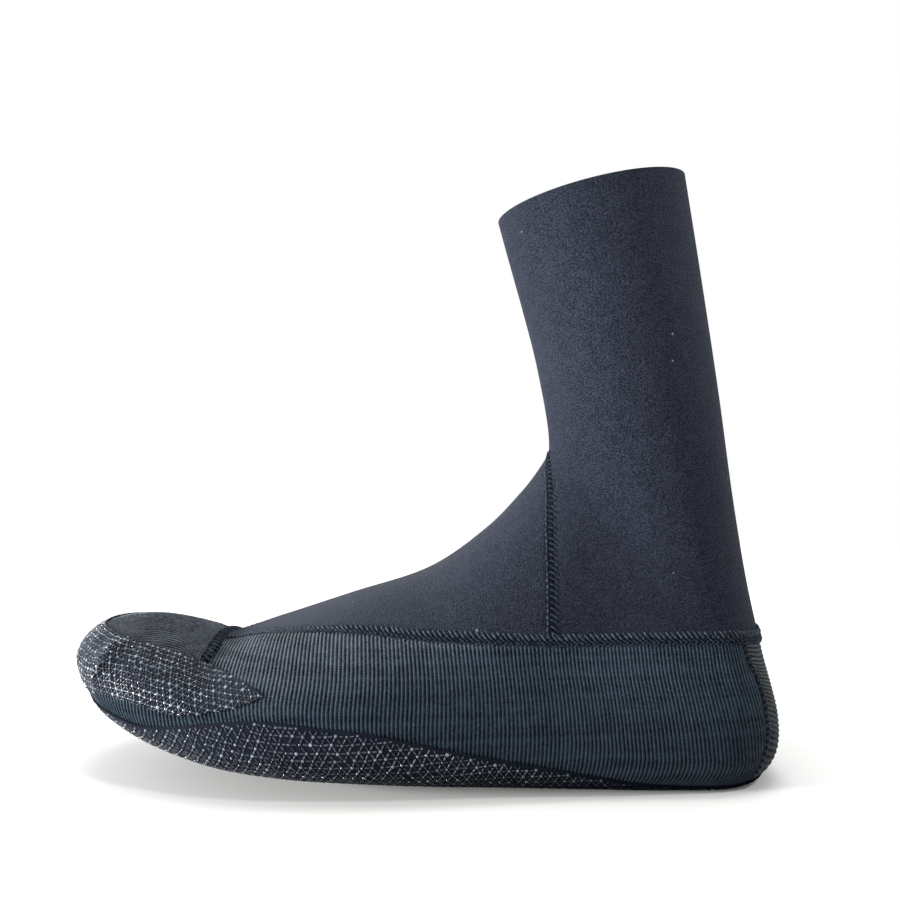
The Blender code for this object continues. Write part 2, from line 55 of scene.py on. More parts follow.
# Heights above the last of a print's underside, its ground and its raised net.
PRINT_LOW, PRINT_BASE, PRINT_HIGH = 0.0003, 0.00055, 0.0009
SOLE_WEAR_DEPTH = 0.0019  # how far the rounded sole is pressed flat where the boot stands
PANEL_INSET = 0.00005  # half the gap between neighbouring panels
PRINT_INSET = 0.0006  # how far the toe's print stays inside its outline
PRINT_OVERHANG = 0.0005  # how far the sole's print reaches over the joint with the rand
NET_MARGIN = 0.0003  # bare ground left round the raised net
RIB = 0.00146  # from one rib of the fabric to the next
HEEL_RIB = 0.00167
TOE_RIB_BEND, TOE_RIB_TURN = 19.0, -0.095  # how strongly the toe's ribs bend, and where they run straight
RIB_DEPTH = 0.00034
SAMPLES_PER_RIB = 5
SIDE_RIBS, FRONT_RIBS = 136, 50  # of the rand, behind the toe seam and in front of it
DIP_DEPTH = 0.0009  # how far a panel's edge is pulled down at a stitched seam
DIP_WIDTH = 0.0019
SHARP_EDGE = math.radians(50)
SOLE_NET_PITCH, TOE_NET_PITCH = 0.0033, 0.0024  # side of the printed triangles
BAR_WIDTH, DOT_RADIUS = 0.00058, 0.00062
CREASE_HEIGHT, CREASE_WIDTH = 0.0034, 0.0042  # of the fold pressed into the toe's outer side
DOT_JITTER = 0.00024  # how far a printed dot may lie from its place in the net
BAR_GAP = (0.24, 0.36)  # bare share of a bar's length at each end
BARS_LOST = 0.08  # share of the bars worn away
BAR_SAMPLES = 9  # places along a bar that are tested against the print's outline
DOT_SIDES = 7
NET_STEP = 0.0001  # how deep the net stands in its ground, and how far its dots rise over its bars
TOE_PRINT_COLUMNS, TOE_PRINT_ROWS = 70, 17  # of the sheet on each side of the toe
PRINT_BOW, BOW_POINTS = 0.3, 24  # how far a line across the toe's print bows out over its length
OUTSIDE = 99.0  # stands for a place that a print does not reach
WELD = 0.00001

# Cross-sections from the toe to the cuff. Each is a closed oval in a plane across the boot:
# the top or front point (x, z), the sole or back point (x, z), half the width, the middle's y,
# how far up the widest place is (0 to 1), and how square the lower and the upper half are (2 is an ellipse).
SECTIONS = [
    (-0.1346, 0.0448, -0.1346, 0.0448, 0.0000, 0.0055, 0.50, 2.0, 2.0),
    (-0.1340, 0.0470, -0.1335, 0.0425, 0.0090, 0.0055, 0.50, 2.0, 2.0),
    (-0.1300, 0.0532, -0.1265, 0.0315, 0.0205, 0.0050, 0.50, 2.1, 2.1),
    (-0.1220, 0.0575, -0.1170, 0.0220, 0.0300, 0.0045, 0.48, 2.3, 2.2),
    (-0.1080, 0.0585, -0.1010, 0.0145, 0.0375, 0.0035, 0.46, 2.5, 2.2),
    (-0.0920, 0.0560, -0.0840, 0.0095, 0.0420, 0.0025, 0.45, 2.6, 2.1),
    (-0.0785, 0.0521, -0.0680, 0.0068, 0.0450, 0.0015, 0.45, 2.7, 2.0),
    (-0.0580, 0.0584, -0.0460, 0.0042, 0.0470, 0.0005, 0.42, 2.7, 2.0),
    (-0.0300, 0.0677, -0.0220, 0.0028, 0.0465, 0.0000, 0.38, 2.8, 2.0),
    (0.0000, 0.0777, 0.0040, 0.0018, 0.0435, -0.0005, 0.33, 3.0, 2.0),
    (0.0220, 0.0927, 0.0300, 0.0011, 0.0405, -0.0005, 0.28, 3.2, 2.0),
    (0.0360, 0.1070, 0.0580, 0.0006, 0.0380, -0.0005, 0.24, 3.6, 2.0),
    (0.0435, 0.1170, 0.0860, 0.0002, 0.0365, -0.0005, 0.24, 4.0, 2.0),
    (0.0463, 0.1225, 0.1130, 0.0003, 0.0355, -0.0005, 0.28, 3.8, 2.0),
    (0.0466, 0.1265, 0.1280, 0.0070, 0.0340, -0.0005, 0.34, 3.0, 2.0),
    (0.0463, 0.1310, 0.1315, 0.0220, 0.0330, -0.0005, 0.38, 2.6, 2.0),
    (0.0455, 0.1370, 0.1265, 0.0460, 0.0320, -0.0005, 0.42, 2.3, 2.0),
    (0.0440, 0.1455, 0.1210, 0.0720, 0.0320, -0.0005, 0.45, 2.2, 2.0),
    (0.0410, 0.1600, 0.1160, 0.1040, 0.0325, -0.0005, 0.48, 2.1, 2.0),
    (0.0363, 0.1780, 0.1110, 0.1430, 0.0335, -0.0005, 0.50, 2.0, 2.0),
    (0.0310, 0.1970, 0.1045, 0.1860, 0.0345, -0.0005, 0.50, 2.0, 2.0),
    (0.0270, 0.2115, 0.0980, 0.2270, 0.0350, -0.0005, 0.50, 2.0, 2.0),
]
SECTION_STEPS = 20  # rows of the last between two sections
AROUND = 320  # places round each row of the last

# Seam lines on the outer side, as points that the line passes through. The inner side mirrors them.
TOE_SEAM = [  # from the middle of the foot's top down to the corner under the toe print
    (-0.0797, 0.0015, 0.0522),
    (-0.0791, -0.0100, 0.0510),
    (-0.0791, -0.0185, 0.0493),
    (-0.0802, -0.0256, 0.0471),
]
TOE_CAP_EDGE = [  # from that corner round to the front of the toe
    (-0.0802, -0.0256, 0.0471),
    (-0.0845, -0.0330, 0.0428),
    (-0.0950, -0.0365, 0.0390),
    (-0.1070, -0.0320, 0.0390),
    (-0.1180, -0.0240, 0.0400),
    (-0.1270, -0.0130, 0.0405),
    (-0.1333, 0.0055, 0.0410),
]
COLLAR_SEAM = [  # from the toe seam back to the ankle seam
    (-0.0797, -0.0035, 0.0521),
    (-0.0627, -0.0124, 0.0555),
    (-0.0462, -0.0216, 0.0581),
    (-0.0309, -0.0275, 0.0594),
    (-0.0164, -0.0315, 0.0594),
    (-0.0010, -0.0345, 0.0584),
    (0.0200, -0.0362, 0.0576),
    (0.0440, -0.0358, 0.0566),
]
REAR_COLLAR_SEAM = [  # from the ankle seam to the heel seam
    (0.0440, -0.0358, 0.0566),
    (0.0780, -0.0348, 0.0572),
    (0.0960, -0.0341, 0.0573),
    (0.1125, -0.0296, 0.0566),
]
HEEL_COLLAR_SEAM = [  # round the back of the heel to its middle
    (0.1125, -0.0296, 0.0566),
    (0.1205, -0.0200, 0.0552),
    (0.1245, -0.0005, 0.0545),
]
ANKLE_SEAM = [  # from the collar up to the front of the ankle
    (0.0440, -0.0358, 0.0566),
    (0.0443, -0.0312, 0.0738),
    (0.0449, -0.0195, 0.1013),
    (0.0453, -0.0125, 0.1120),
    (0.0463, -0.0005, 0.1225),
]
HEEL_SEAM = [  # from the collar down to the sole's edge
    (0.1125, -0.0296, 0.0566),
    (0.1143, -0.0305, 0.0489),
    (0.1174, -0.0297, 0.0430),
    (0.1201, -0.0291, 0.0355),
    (0.1213, -0.0291, 0.0280),
    (0.1218, -0.0287, 0.0208),
    (0.1203, -0.0286, 0.0136),
    (0.1165, -0.0260, 0.0035),
]
SOLE_FRONT_EDGE = [  # from the front of the toe to below the toe seam
    (-0.1315, 0.0053, 0.0335),
    (-0.1262, -0.0140, 0.0325),
    (-0.1162, -0.0247, 0.0300),
    (-0.0996, -0.0342, 0.0265),
    (-0.0796, -0.0415, 0.0290),
]
SOLE_SIDE_EDGE = [  # from there to the heel seam
    (-0.0796, -0.0415, 0.0290),
    (-0.0570, -0.0456, 0.0312),
    (-0.0370, -0.0468, 0.0293),
    (-0.0176, -0.0460, 0.0267),
    (0.0154, -0.0421, 0.0187),
    (0.0490, -0.0374, 0.0115),
    (0.0785, -0.0325, 0.0056),
    (0.1000, -0.0300, 0.0035),
    (0.1165, -0.0260, 0.0035),
]
SOLE_HEEL_EDGE = [  # round the back of the heel to its middle
    (0.1165, -0.0260, 0.0035),
    (0.1225, -0.0160, 0.0045),
    (0.1260, -0.0005, 0.0055),
]
TOE_PRINT_TOP = [
    (-0.0548, -0.0427, 0.0391),
    (-0.0592, -0.0401, 0.0416),
    (-0.0651, -0.0365, 0.0434),
    (-0.0712, -0.0316, 0.0451),
    (-0.0802, -0.0254, 0.0472),
    (-0.0887, -0.0244, 0.0500),
    (-0.0996, -0.0224, 0.0527),
    (-0.1107, -0.0196, 0.0541),
    (-0.1170, -0.0133, 0.0558),
    (-0.1225, -0.0054, 0.0566),
    (-0.1242, 0.0050, 0.0564),
]
TOE_PRINT_BOTTOM = [
    (-0.0548, -0.0427, 0.0391),
    (-0.0603, -0.0432, 0.0366),
    (-0.0657, -0.0430, 0.0348),
    (-0.0706, -0.0426, 0.0337),
    (-0.0807, -0.0414, 0.0322),
    (-0.0914, -0.0384, 0.0325),
    (-0.1025, -0.0347, 0.0349),
    (-0.1085, -0.0320, 0.0357),
    (-0.1149, -0.0284, 0.0365),
    (-0.1192, -0.0252, 0.0367),
    (-0.1260, -0.0160, 0.0376),
    (-0.1325, 0.0055, 0.0385),
]

CREASE = [  # the fold's crest, down over the toe's outer side
    (-0.1105, -0.0202, 0.0538),
    (-0.1138, -0.0260, 0.0484),
    (-0.1169, -0.0272, 0.0420),
    (-0.1177, -0.0267, 0.0387),
]
TOE_CENTRE = (-0.0800, 0.0055)  # the ribs below the toe print point away from here, seen from above

CAMERA_PLACE = (0.0097, -0.3488, 0.1221)
WORLD_LIGHT = 0.56
FLOOR_RADIUS = 0.9
FLOOR_GLOW, FLOOR_GLOW_REACH = (0.04, 0.45), (0.12, 0.5)  # the floor's own light, and how far out it grows
LAMPS = [  # name, place, what it points at, size and power
    ("ceiling_light", (0.05, -0.04, 1.10), (0.02, 0.0, 0.08), 0.8, 6.3),
    ("left_light", (-0.70, -0.20, 0.09), (-0.12, 0.0, 0.07), 0.14, 14.0),
    ("right_light", (0.50, -0.60, 0.90), (0.0, 0.0, 0.05), 0.14, 3.0),
]


def through(points, places):
    """A smooth curve through rows of numbers, read at places that count the rows from 0 (Catmull-Rom)."""
    rows = np.asarray(points, float)
    last = len(rows) - 1
    places = np.clip(np.asarray(places, float), 0, last)
    first = np.minimum(places.astype(int), last - 1)
    f = (places - first)[:, None]
    padded = np.vstack([2 * rows[0] - rows[1], rows, 2 * rows[-1] - rows[-2]])
    a, b, c, d = (padded[first + k] for k in range(4))
    return 0.5 * (2 * b + (c - a) * f + (2 * a - 5 * b + 4 * c - d) * f**2 + (3 * b - a - 3 * c + d) * f**3)


def half_oval(section):
    """One side of a cross-section from its top to its bottom, as (x, z) and how far out each point is."""
    top_x, top_z, low_x, low_z, half_width, _, widest, square_low, square_top = section
    angle = np.linspace(0, np.pi, 241)
    rise = np.cos(angle)
    power = 2 / np.where(rise < 0, square_low, square_top)
    out = half_width * np.sin(angle).clip(0) ** power
    height = np.sign(rise) * np.abs(rise) ** power
    up = np.where(height < 0, widest * (1 + height), widest + (1 - widest) * height)
    return low_x + (top_x - low_x) * up, low_z + (top_z - low_z) * up, out


def ring(section):
    """The whole cross-section as AROUND + 1 points, evenly spaced along its outline."""
    x, z, out = half_oval(section)
    steps = np.sqrt(np.diff(x) ** 2 + np.diff(z) ** 2 + np.diff(out) ** 2)
    length = np.concatenate([[0], np.cumsum(steps)])
    wanted = np.linspace(0, length[-1], AROUND // 2 + 1)
    x, z, out = (np.interp(wanted, length, values) for values in (x, z, out))
    outer = np.stack([x, section[5] - out, z], axis=1)
    inner = np.stack([x, section[5] + out, z], axis=1)
    return np.vstack([outer, inner[-2::-1]])


def cad_shift():
    """How far the CAD has moved the cross-sections to stand the boot in the middle of its box."""
    low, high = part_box("shaft_panel")
    toe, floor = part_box("toe_cap")[0].x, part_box("sole_grip_print")[0].z
    middle = (low.y + high.y) / 2
    return np.array([toe - SECTIONS[0][0], middle - SECTIONS[-1][5], floor + PRINT_HIGH - SOLE_WEAR_DEPTH])


class Last:
    """The boot's outer surface, as a fine net of points with their outward normals."""

    def __init__(self):
        self.shift = cad_shift()
        self.rows = (len(SECTIONS) - 1) * SECTION_STEPS
        sections = through(SECTIONS, np.linspace(0, len(SECTIONS) - 1, self.rows + 1))
        net = np.stack([ring(section) for section in sections])
        net[..., 2] = np.maximum(net[..., 2], SOLE_WEAR_DEPTH)
        self.net = net + self.shift
        self.net += self.net_normals() * self.crease()[..., None]
        self.normals = self.net_normals()
        self.tree = tree_of(self.net[:, :-1].reshape(-1, 3))

    def crease(self):
        """How far the fold in the toe lifts each point of the net."""
        ridge = even(CREASE, 50) + self.shift
        crest = CREASE_HEIGHT * np.sin(np.linspace(0.15, np.pi - 0.15, len(ridge))) ** 0.7
        toe_rows = 7 * SECTION_STEPS
        away = np.linalg.norm(self.net[:toe_rows, :, None] - ridge, axis=3)
        lift = np.zeros(self.net.shape[:2])
        lift[:toe_rows] = (crest * np.exp(-away / CREASE_WIDTH)).max(axis=2)
        lift[:, 0] = lift[:, -1]
        return lift

    def net_normals(self):
        wrapped = np.concatenate([self.net[:, -2:-1], self.net, self.net[:, 1:2]], axis=1)
        along = np.gradient(self.net, axis=0)
        around = wrapped[:, 2:] - wrapped[:, :-2]
        normals = np.cross(around, along)
        normals[0] = normals[1].mean(axis=0)
        return normals / np.linalg.norm(normals, axis=2, keepdims=True)

    def read(self, values, chart):
        """Values of the net at (t, b) places, blended between its points."""
        t = np.clip(chart[..., 0] * SECTION_STEPS, 0, self.rows - 1e-9)
        b = np.mod(chart[..., 1], 2) * AROUND / 2
        i, j = t.astype(int), np.minimum(b.astype(int), AROUND - 1)
        f, g = (t - i)[..., None], (b - j)[..., None]
        near = values[i, j] * (1 - g) + values[i, j + 1] * g
        far = values[i + 1, j] * (1 - g) + values[i + 1, j + 1] * g
        return near * (1 - f) + far * f

    def at(self, chart):
        """Points on the last and outward normals there, for an array of (t, b)."""
        return self.read(self.net, chart), unit(self.read(self.normals, chart))

    def locate(self, points):
        """The (t, b) of the places on the last nearest to these points."""
        found = np.array([self.tree.find(point)[1] for point in points])
        chart = np.stack([found // AROUND / SECTION_STEPS, found % AROUND * 2 / AROUND], axis=1)
        nearest = chart.copy()
        step = np.array([0.5 / SECTION_STEPS, 1 / AROUND])
        for _ in range(3):
            here = self.read(self.net, chart)
            along = self.read(self.net, chart + step * (1, 0)) - self.read(self.net, chart - step * (1, 0))
            around = self.read(self.net, chart + step * (0, 1)) - self.read(self.net, chart - step * (0, 1))
            basis = np.stack([along / (2 * step[0]), around / (2 * step[1])], axis=2)
            move = np.einsum("nij,nj->ni", np.linalg.pinv(basis), points - here)
            chart = chart + np.clip(move, -2 * step, 2 * step)
            chart[:, 0] = chart[:, 0].clip(0, len(SECTIONS) - 1)
        gone = np.linalg.norm(points - self.read(self.net, chart), axis=1)
        stayed = np.linalg.norm(points - self.read(self.net, nearest), axis=1)
        return np.where((gone < stayed)[:, None], chart, nearest)

    def half_girth(self, t):
        """Half the length round the last at t."""
        steps = np.linalg.norm(np.diff(self.net[:, : AROUND // 2 + 1], axis=1), axis=2).sum(axis=1)
        return np.interp(t, np.arange(self.rows + 1) / SECTION_STEPS, steps)


def unit(vectors):
    return vectors / np.maximum(np.linalg.norm(vectors, axis=-1, keepdims=True), 1e-12)


def tree_of(points):
    tree = KDTree(len(points))
    for index, point in enumerate(points):
        tree.insert(point, index)
    tree.balance()
    return tree


def run(points):
    """The distance along a line of points to each of them."""
    return np.concatenate([[0], np.cumsum(np.linalg.norm(np.diff(points, axis=0), axis=1))])


def spaced(fine, count):
    """Count points evenly spaced along a line of many points."""
    length = run(fine)
    wanted = np.linspace(0, length[-1], count)
    return np.stack([np.interp(wanted, length, fine[:, k]) for k in range(3)], axis=1)


def even(points, count):
    """A smooth curve through points, as count points evenly spaced along it."""
    return spaced(through(points, np.linspace(0, len(points) - 1, 8 * count)), count)


def centred(chart):
    """Puts places that lie next to the boot's middle line exactly on it."""
    middle = np.round(chart[..., 1])
    beside = np.abs(chart[..., 1] - middle) < 0.02
    return np.stack([chart[..., 0], np.where(beside, middle, chart[..., 1])], axis=-1)


def coons(low, high, start, end):
    """Places that fill the four-sided patch between these lines, as rows from low to high."""
    v = np.linspace(0, 1, len(start))[:, None, None]
    u = np.linspace(0, 1, len(low))[None, :, None]
    rails = (1 - v) * low[None] + v * high[None]
    ends = (1 - u) * start[:, None] + u * end[:, None]
    corners = (1 - v) * ((1 - u) * low[0] + u * low[-1]) + v * ((1 - u) * high[0] + u * high[-1])
    return rails + ends - corners


def straight(start, end, count):
    """Places on the straight row between two places."""
    share = np.linspace(0, 1, count)[:, None]
    return start * (1 - share) + end * share


def resampled(places, count):
    """The same line with another number of places."""
    wanted = np.linspace(0, len(places) - 1, count)
    return np.stack([np.interp(wanted, np.arange(len(places)), places[:, k]) for k in range(2)], axis=1)


def joined(*lines):
    """Lines that follow one another as one line, without their shared places twice."""
    return np.vstack([lines[0]] + [places[1:] for places in lines[1:]])


def mirrored(places):
    """The same places on the other side of the boot, by way of the front."""
    return places * (1, -1)


def other_side(places):
    """A line that ends at the back, carried on round the other side."""
    return places[::-1] * (1, -1) + (0, 2)


def rim(faces):
    """The edges that only one face has, in that face's direction."""
    edges = [(a, b) for face in faces for a, b in zip(face, face[1:] + face[:1])]
    known = set(edges)
    return [(a, b) for a, b in edges if (b, a) not in known]


def draw_back(points, normals, faces, distance):
    """Moves a sheet's border inwards along the surface."""
    inward = np.zeros_like(points)
    middle = {}
    for face in faces:
        centre = points[face].mean(axis=0)
        for a, b in zip(face, face[1:] + face[:1]):
            middle[a, b] = centre
    for a, b in rim(faces):
        across = np.cross(normals[a] + normals[b], points[b] - points[a])
        across *= np.sign(across @ (middle[a, b] - points[a]))
        across /= max(np.linalg.norm(across), 1e-12)
        inward[a] += across
        inward[b] += across
    size = np.linalg.norm(inward, axis=1, keepdims=True)
    return points + distance * inward * 2 / np.maximum(size, 1.2) ** 2


def line(last, points, count):
    """A seam line as count places (t, b), evenly spaced along it."""
    chart = last.locate(even(points, count) + last.shift)
    chart[:, 1] = np.unwrap(chart[:, 1], period=2)
    return centred(chart)


def ruled(low, high, rows):
    """Places on straight rows between two lines of the same length."""
    v = np.linspace(0, 1, rows)[:, None, None]
    return (1 - v) * low[None] + v * high[None]


def facing(last, low, high, key):
    """The places on line high that face those on line low, by the share of its way that key has gone."""
    fine = resampled(high, 3000)
    ways = [key(last.at(places)[0]) for places in (low, fine)]
    shares = [(way - way[0]) / (way[-1] - way[0]) for way in ways]
    wanted = np.interp(shares[0], shares[1], np.arange(len(fine)))
    return np.stack([np.interp(wanted, np.arange(len(fine)), fine[:, k]) for k in range(2)], axis=1)


def fitted(last, low, high, start, end):
    """Fills the patch between four lines with columns that run straight through space from low to high."""
    rows, columns = len(start), len(low)
    v, u = np.linspace(0, 1, rows)[:, None, None], np.linspace(0, 1, columns)[None, :, None]
    (foot, outward), (top, _) = last.at(low), last.at(high)
    points = (1 - v) * foot + v * top
    points = points + 0.25 * np.sin(np.pi * v) * np.linalg.norm(top - foot, axis=1)[None, :, None] * outward
    for side, share in ((start, 1 - u), (end, u)):
        edge = last.at(side)[0]
        across = (edge - straight(edge[0], edge[-1], rows)) * (1, 0, 0)
        points = points + share**3 * across[:, None]
    places = last.locate(points.reshape(-1, 3)).reshape(rows, columns, 2)
    places[0], places[-1], places[:, 0], places[:, -1] = low, high, start, end
    return places


class Seams:
    """The seam lines of the outer side, at the fineness that the shown pieces need."""

    def __init__(self, last, side_columns, front_columns, band_rows):
        self.toe = line(last, TOE_SEAM, 22)
        self.cap_edge = line(last, TOE_CAP_EDGE, front_columns)
        self.collar = line(last, COLLAR_SEAM, 150)
        self.rear_collar = line(last, REAR_COLLAR_SEAM, 50)
        self.heel_collar = line(last, HEEL_COLLAR_SEAM, 24)
        self.ankle = line(last, ANKLE_SEAM, 60)
        self.heel = line(last, HEEL_SEAM, 160)
        self.sole_front = line(last, SOLE_FRONT_EDGE, front_columns)
        self.sole_side = line(last, SOLE_SIDE_EDGE, side_columns)
        self.sole_heel = line(last, SOLE_HEEL_EDGE, 24)
        start = self.collar[0]
        self.toe_to_collar = joined(start[None], self.toe[self.toe[:, 1] > 1.02 * start[1]])
        self.band_rows = band_rows

    def stitched(self):
        """The whole stitched seams by name."""
        collar = joined(self.collar, self.rear_collar, self.heel_collar)
        return {
            "toe_seam": joined(mirrored(self.toe)[::-1], self.toe),
            "collar_seam": joined(collar, other_side(collar)),
            "ankle_seam": joined(self.ankle, mirrored(self.ankle)[::-1]),
            "outer_heel_seam": self.heel,
            "inner_heel_seam": mirrored(self.heel),
        }


def pulled_down(last, seams, points):
    """How far the panels are pulled in at these points by the stitched seams near them."""
    fine = np.vstack([last.at(resampled(places, 400))[0] for places in seams.stitched().values()])
    tree = tree_of(fine)
    away = np.array([tree.find(point)[2] for point in points])
    return DIP_DEPTH * np.exp(-((away / DIP_WIDTH) ** 2))


def made(name, points, faces, groups, materials, uv=None):
    """A smooth mesh object. groups gives each face's material, and uv each face's corners."""
    mesh = bpy.data.meshes.new(name)
    mesh.from_pydata(points.tolist(), [], faces)
    for material in materials:
        mesh.materials.append(material)
    mesh.polygons.foreach_set("material_index", np.asarray(groups, np.int32))
    if uv is not None:
        layer = mesh.uv_layers.new(name="cloth")
        layer.data.foreach_set("uv", np.asarray(uv, np.float32).ravel())
    mesh.validate()
    mesh.shade_smooth()
    mesh.set_sharp_from_angle(angle=SHARP_EDGE)
    obj = bpy.data.objects.new(name, mesh)
    bpy.context.scene.collection.objects.link(obj)
    return obj


def shown(obj, slot, *nodes):
    """Hides the CAD nodes that this piece stands for, and makes the piece ride on the boot's one body."""
    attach(obj, "root")
    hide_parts(*nodes)
    return obj


def welded_sheet(patches):
    """Joins patches into one open sheet.

    Gives all the patches' places, points, normals and cloth, the points that are kept, the faces and each
    face's corners before welding."""
    faces, start = [], 0
    for places, points, normals, _ in patches:
        rows, columns = places.shape[:2]
        index = start + np.arange(rows * columns).reshape(rows, columns)
        corners = (index[:-1, :-1], index[:-1, 1:], index[1:, 1:], index[1:, :-1])
        facing = np.cross(points[1:, 1:] - points[:-1, :-1], points[1:, :-1] - points[:-1, 1:])
        corners = corners if (facing * normals[1:, 1:]).sum() > 0 else corners[::-1]
        faces.append(np.stack([corner.ravel() for corner in corners], axis=1))
        start += rows * columns
    flat = [np.vstack([patch[k].reshape(-1, patch[k].shape[-1]) for patch in patches]) for k in range(4)]
    faces = np.vstack(faces)
    work = bmesh.new()
    corners = [work.verts.new(point) for point in flat[1]]
    work.verts.index_update()
    same = bmesh.ops.find_doubles(work, verts=corners, dist=WELD)["targetmap"]
    target = np.arange(start)
    for corner, kept in same.items():
        target[corner.index] = kept.index
    work.free()
    kept, index = np.unique(target, return_inverse=True)
    index = index.reshape(-1)
    welded, wedges = [], []
    for face in faces.tolist():
        seen = {}
        for corner in face:
            seen.setdefault(int(index[corner]), corner)
        if len(seen) > 2:
            welded.append(list(seen))
            wedges.append(list(seen.values()))
    return flat, kept, welded, wedges


def panel(last, name, patches, high, low, materials, relief=None, seams=None, inset=PANEL_INSET):
    """A closed panel over the sheet that the patches (chart, cloth) make, from low to high above the last.

    cloth is (across, along) the fabric in metres. relief takes cloth and gives the height of the weave."""
    patches = [(places, *last.at(places), cloth) for places, cloth in patches]
    (_, points, normals, cloth), kept, faces, wedges = welded_sheet(patches)
    points, normals, count = points[kept], normals[kept], len(kept)
    down = pulled_down(last, seams, points) if seams else 0.0
    up = high - down + (relief(cloth[kept], points) * (1 - down / DIP_DEPTH) if relief else 0.0)
    points = draw_back(points, normals, faces, inset)
    top = points + normals * np.broadcast_to(up, count)[:, None]
    bottom = points + normals * low
    edge = rim(faces)
    under = [[index + count for index in reversed(face)] for face in faces]
    sides = [[b, a, a + count, b + count] for a, b in edge]
    cut, lining_look = min(1, len(materials) - 1), min(2, len(materials) - 1)
    groups = [0] * len(faces) + [lining_look] * len(faces) + [cut] * len(sides)
    corner_of = {}
    for face, wedge in zip(faces, wedges):
        corner_of.update(zip(face, wedge))
    order = [corner for wedge in wedges for corner in wedge]
    order += [corner for wedge in wedges for corner in reversed(wedge)]
    order += [corner_of[index] for a, b in edge for index in (b, a, a, b)]
    return made(name, np.vstack([top, bottom]), faces + under + sides, groups, materials, cloth[order])


def cloth_of(last, places):
    """Distances in metres across the columns, measured on the middle row, and along them."""
    points, _ = last.at(places)
    across = run(points[places.shape[0] // 2])
    steps = np.linalg.norm(np.diff(points, axis=0), axis=2)
    along = np.concatenate([np.zeros((1, places.shape[1])), np.cumsum(steps, axis=0)])
    return np.stack([np.broadcast_to(across[None], along.shape), along], axis=2)


def ribs(cloth, points):
    """The height of ribbed fabric."""
    return RIB_DEPTH * 0.5 * (np.cos(2 * np.pi * cloth[:, 0] / RIB) - 1)


def plain(last, patch_places):
    """Patches for panel(), with the cloth measured along their rows and columns."""
    return [(places, cloth_of(last, places)) for places in patch_places]


def shaft(last, seams, materials):
    low = joined(seams.ankle[::-1], seams.rear_collar, seams.heel_collar)
    low = joined(low, other_side(low))
    cuff = straight((len(SECTIONS) - 1.0, low[0, 1]), (len(SECTIONS) - 1.0, low[-1, 1]), len(low))
    obj = panel(last, "shaft", plain(last, [ruled(cuff, low, 120)]), 0.0, -WALL, materials, seams=seams)
    return shown(obj, "shaft_jersey", "shaft_panel")


def instep(last, seams, materials):
    top = joined(seams.ankle, mirrored(seams.ankle)[::-1])
    tip = straight(seams.collar[0], mirrored(seams.collar)[0], len(top))
    places = coons(tip, top, seams.collar, mirrored(seams.collar))
    obj = panel(last, "instep", plain(last, [places]), 0.0, -WALL, materials, seams=seams)
    return shown(obj, "instep_jersey", "instep_panel")


def toe(last, seams, materials):
    """The toe cap. Its ribs run back from the toe in arcs, and down towards the toe seam."""
    edge = joined(resampled(seams.toe, 56), resampled(seams.cap_edge, 64))
    edge = joined(edge, other_side(edge))
    places = ruled(edge * (0, 1), edge, 170)
    points, _ = last.at(places)
    round_top = np.abs(np.mod(places[..., 1] + 1, 2) - 1) * last.half_girth(places[..., 0])
    bend = TOE_RIB_BEND * (points[..., 0] - last.shift[0] - TOE_RIB_TURN) ** 2
    cloth = np.stack([round_top - bend, points[..., 0]], axis=2)
    obj = panel(last, "toe_cap_ribbed", [(places, cloth)], 0.0, -WALL, materials, ribs, seams)
    return shown(obj, "toe_ribs", "toe_cap")


def rand(last, seams, materials):
    """The rand, whose ribs run across the foot. The fabric is measured from the toe seam both ways."""
    corner = straight(seams.sole_front[-1], seams.toe[-1], seams.band_rows)
    front_end = straight(seams.sole_front[0], seams.cap_edge[-1], seams.band_rows)
    centre = last.shift[:2] + TOE_CENTRE

    def bearing(points):
        return np.arctan2(points[:, 1] - centre[1], centre[0] - points[:, 0])

    low = seams.sole_front[::-1]
    top = facing(last, low, seams.cap_edge, bearing)
    front = fitted(last, low, top, corner, front_end)
    start = joined(corner, seams.toe_to_collar[::-1])
    top = facing(last, seams.sole_side, joined(seams.collar, seams.rear_collar), lambda points: points[:, 0])
    side = fitted(last, seams.sole_side, top, start, resampled(seams.heel[::-1], len(start)))
    patches = []
    for places in (front, side):
        cloth = cloth_of(last, places)
        if places is front:
            cloth = cloth * (-1, 1)
        patches += [(places, cloth), (mirrored(places), cloth)]
    obj = panel(last, "rand_ribbed", patches, 0.0, -WALL, materials, ribs, seams)
    return shown(obj, "rand_ribs", "rand")


def heel(last, seams, materials):
    """The heel tab, whose ribs lie level."""
    middle = straight(seams.sole_heel[-1], seams.heel_collar[-1], len(seams.heel))
    half = coons(seams.sole_heel, seams.heel_collar, seams.heel[::-1], middle)
    points, _ = last.at(half)
    level = run(points[:, -1])[:, None] * np.ones(half.shape[1])
    cloth = np.stack([level * RIB / HEEL_RIB, points[..., 1]], axis=2)
    patches = [(half, cloth), (mirrored(half), cloth)]
    obj = panel(last, "heel_ribbed", patches, 0.0, -WALL, materials, ribs, seams)
    return shown(obj, "heel_ribs", "heel_tab")


def sole(last, seams, materials):
    edge = joined(resampled(seams.sole_front, 60), resampled(seams.sole_side, 180), seams.sole_heel)
    middle = np.stack([edge[:, 0], np.ones(len(edge))], axis=1)
    half = ruled(edge, middle, 40)
    patches = plain(last, [half, mirrored(half)])
    obj = panel(last, "sole_ribbed", patches, 0.0, -WALL, materials)
    shown(obj, "sole_ribs", "sole_panel")
    return edge, half  # which the sole's print covers too


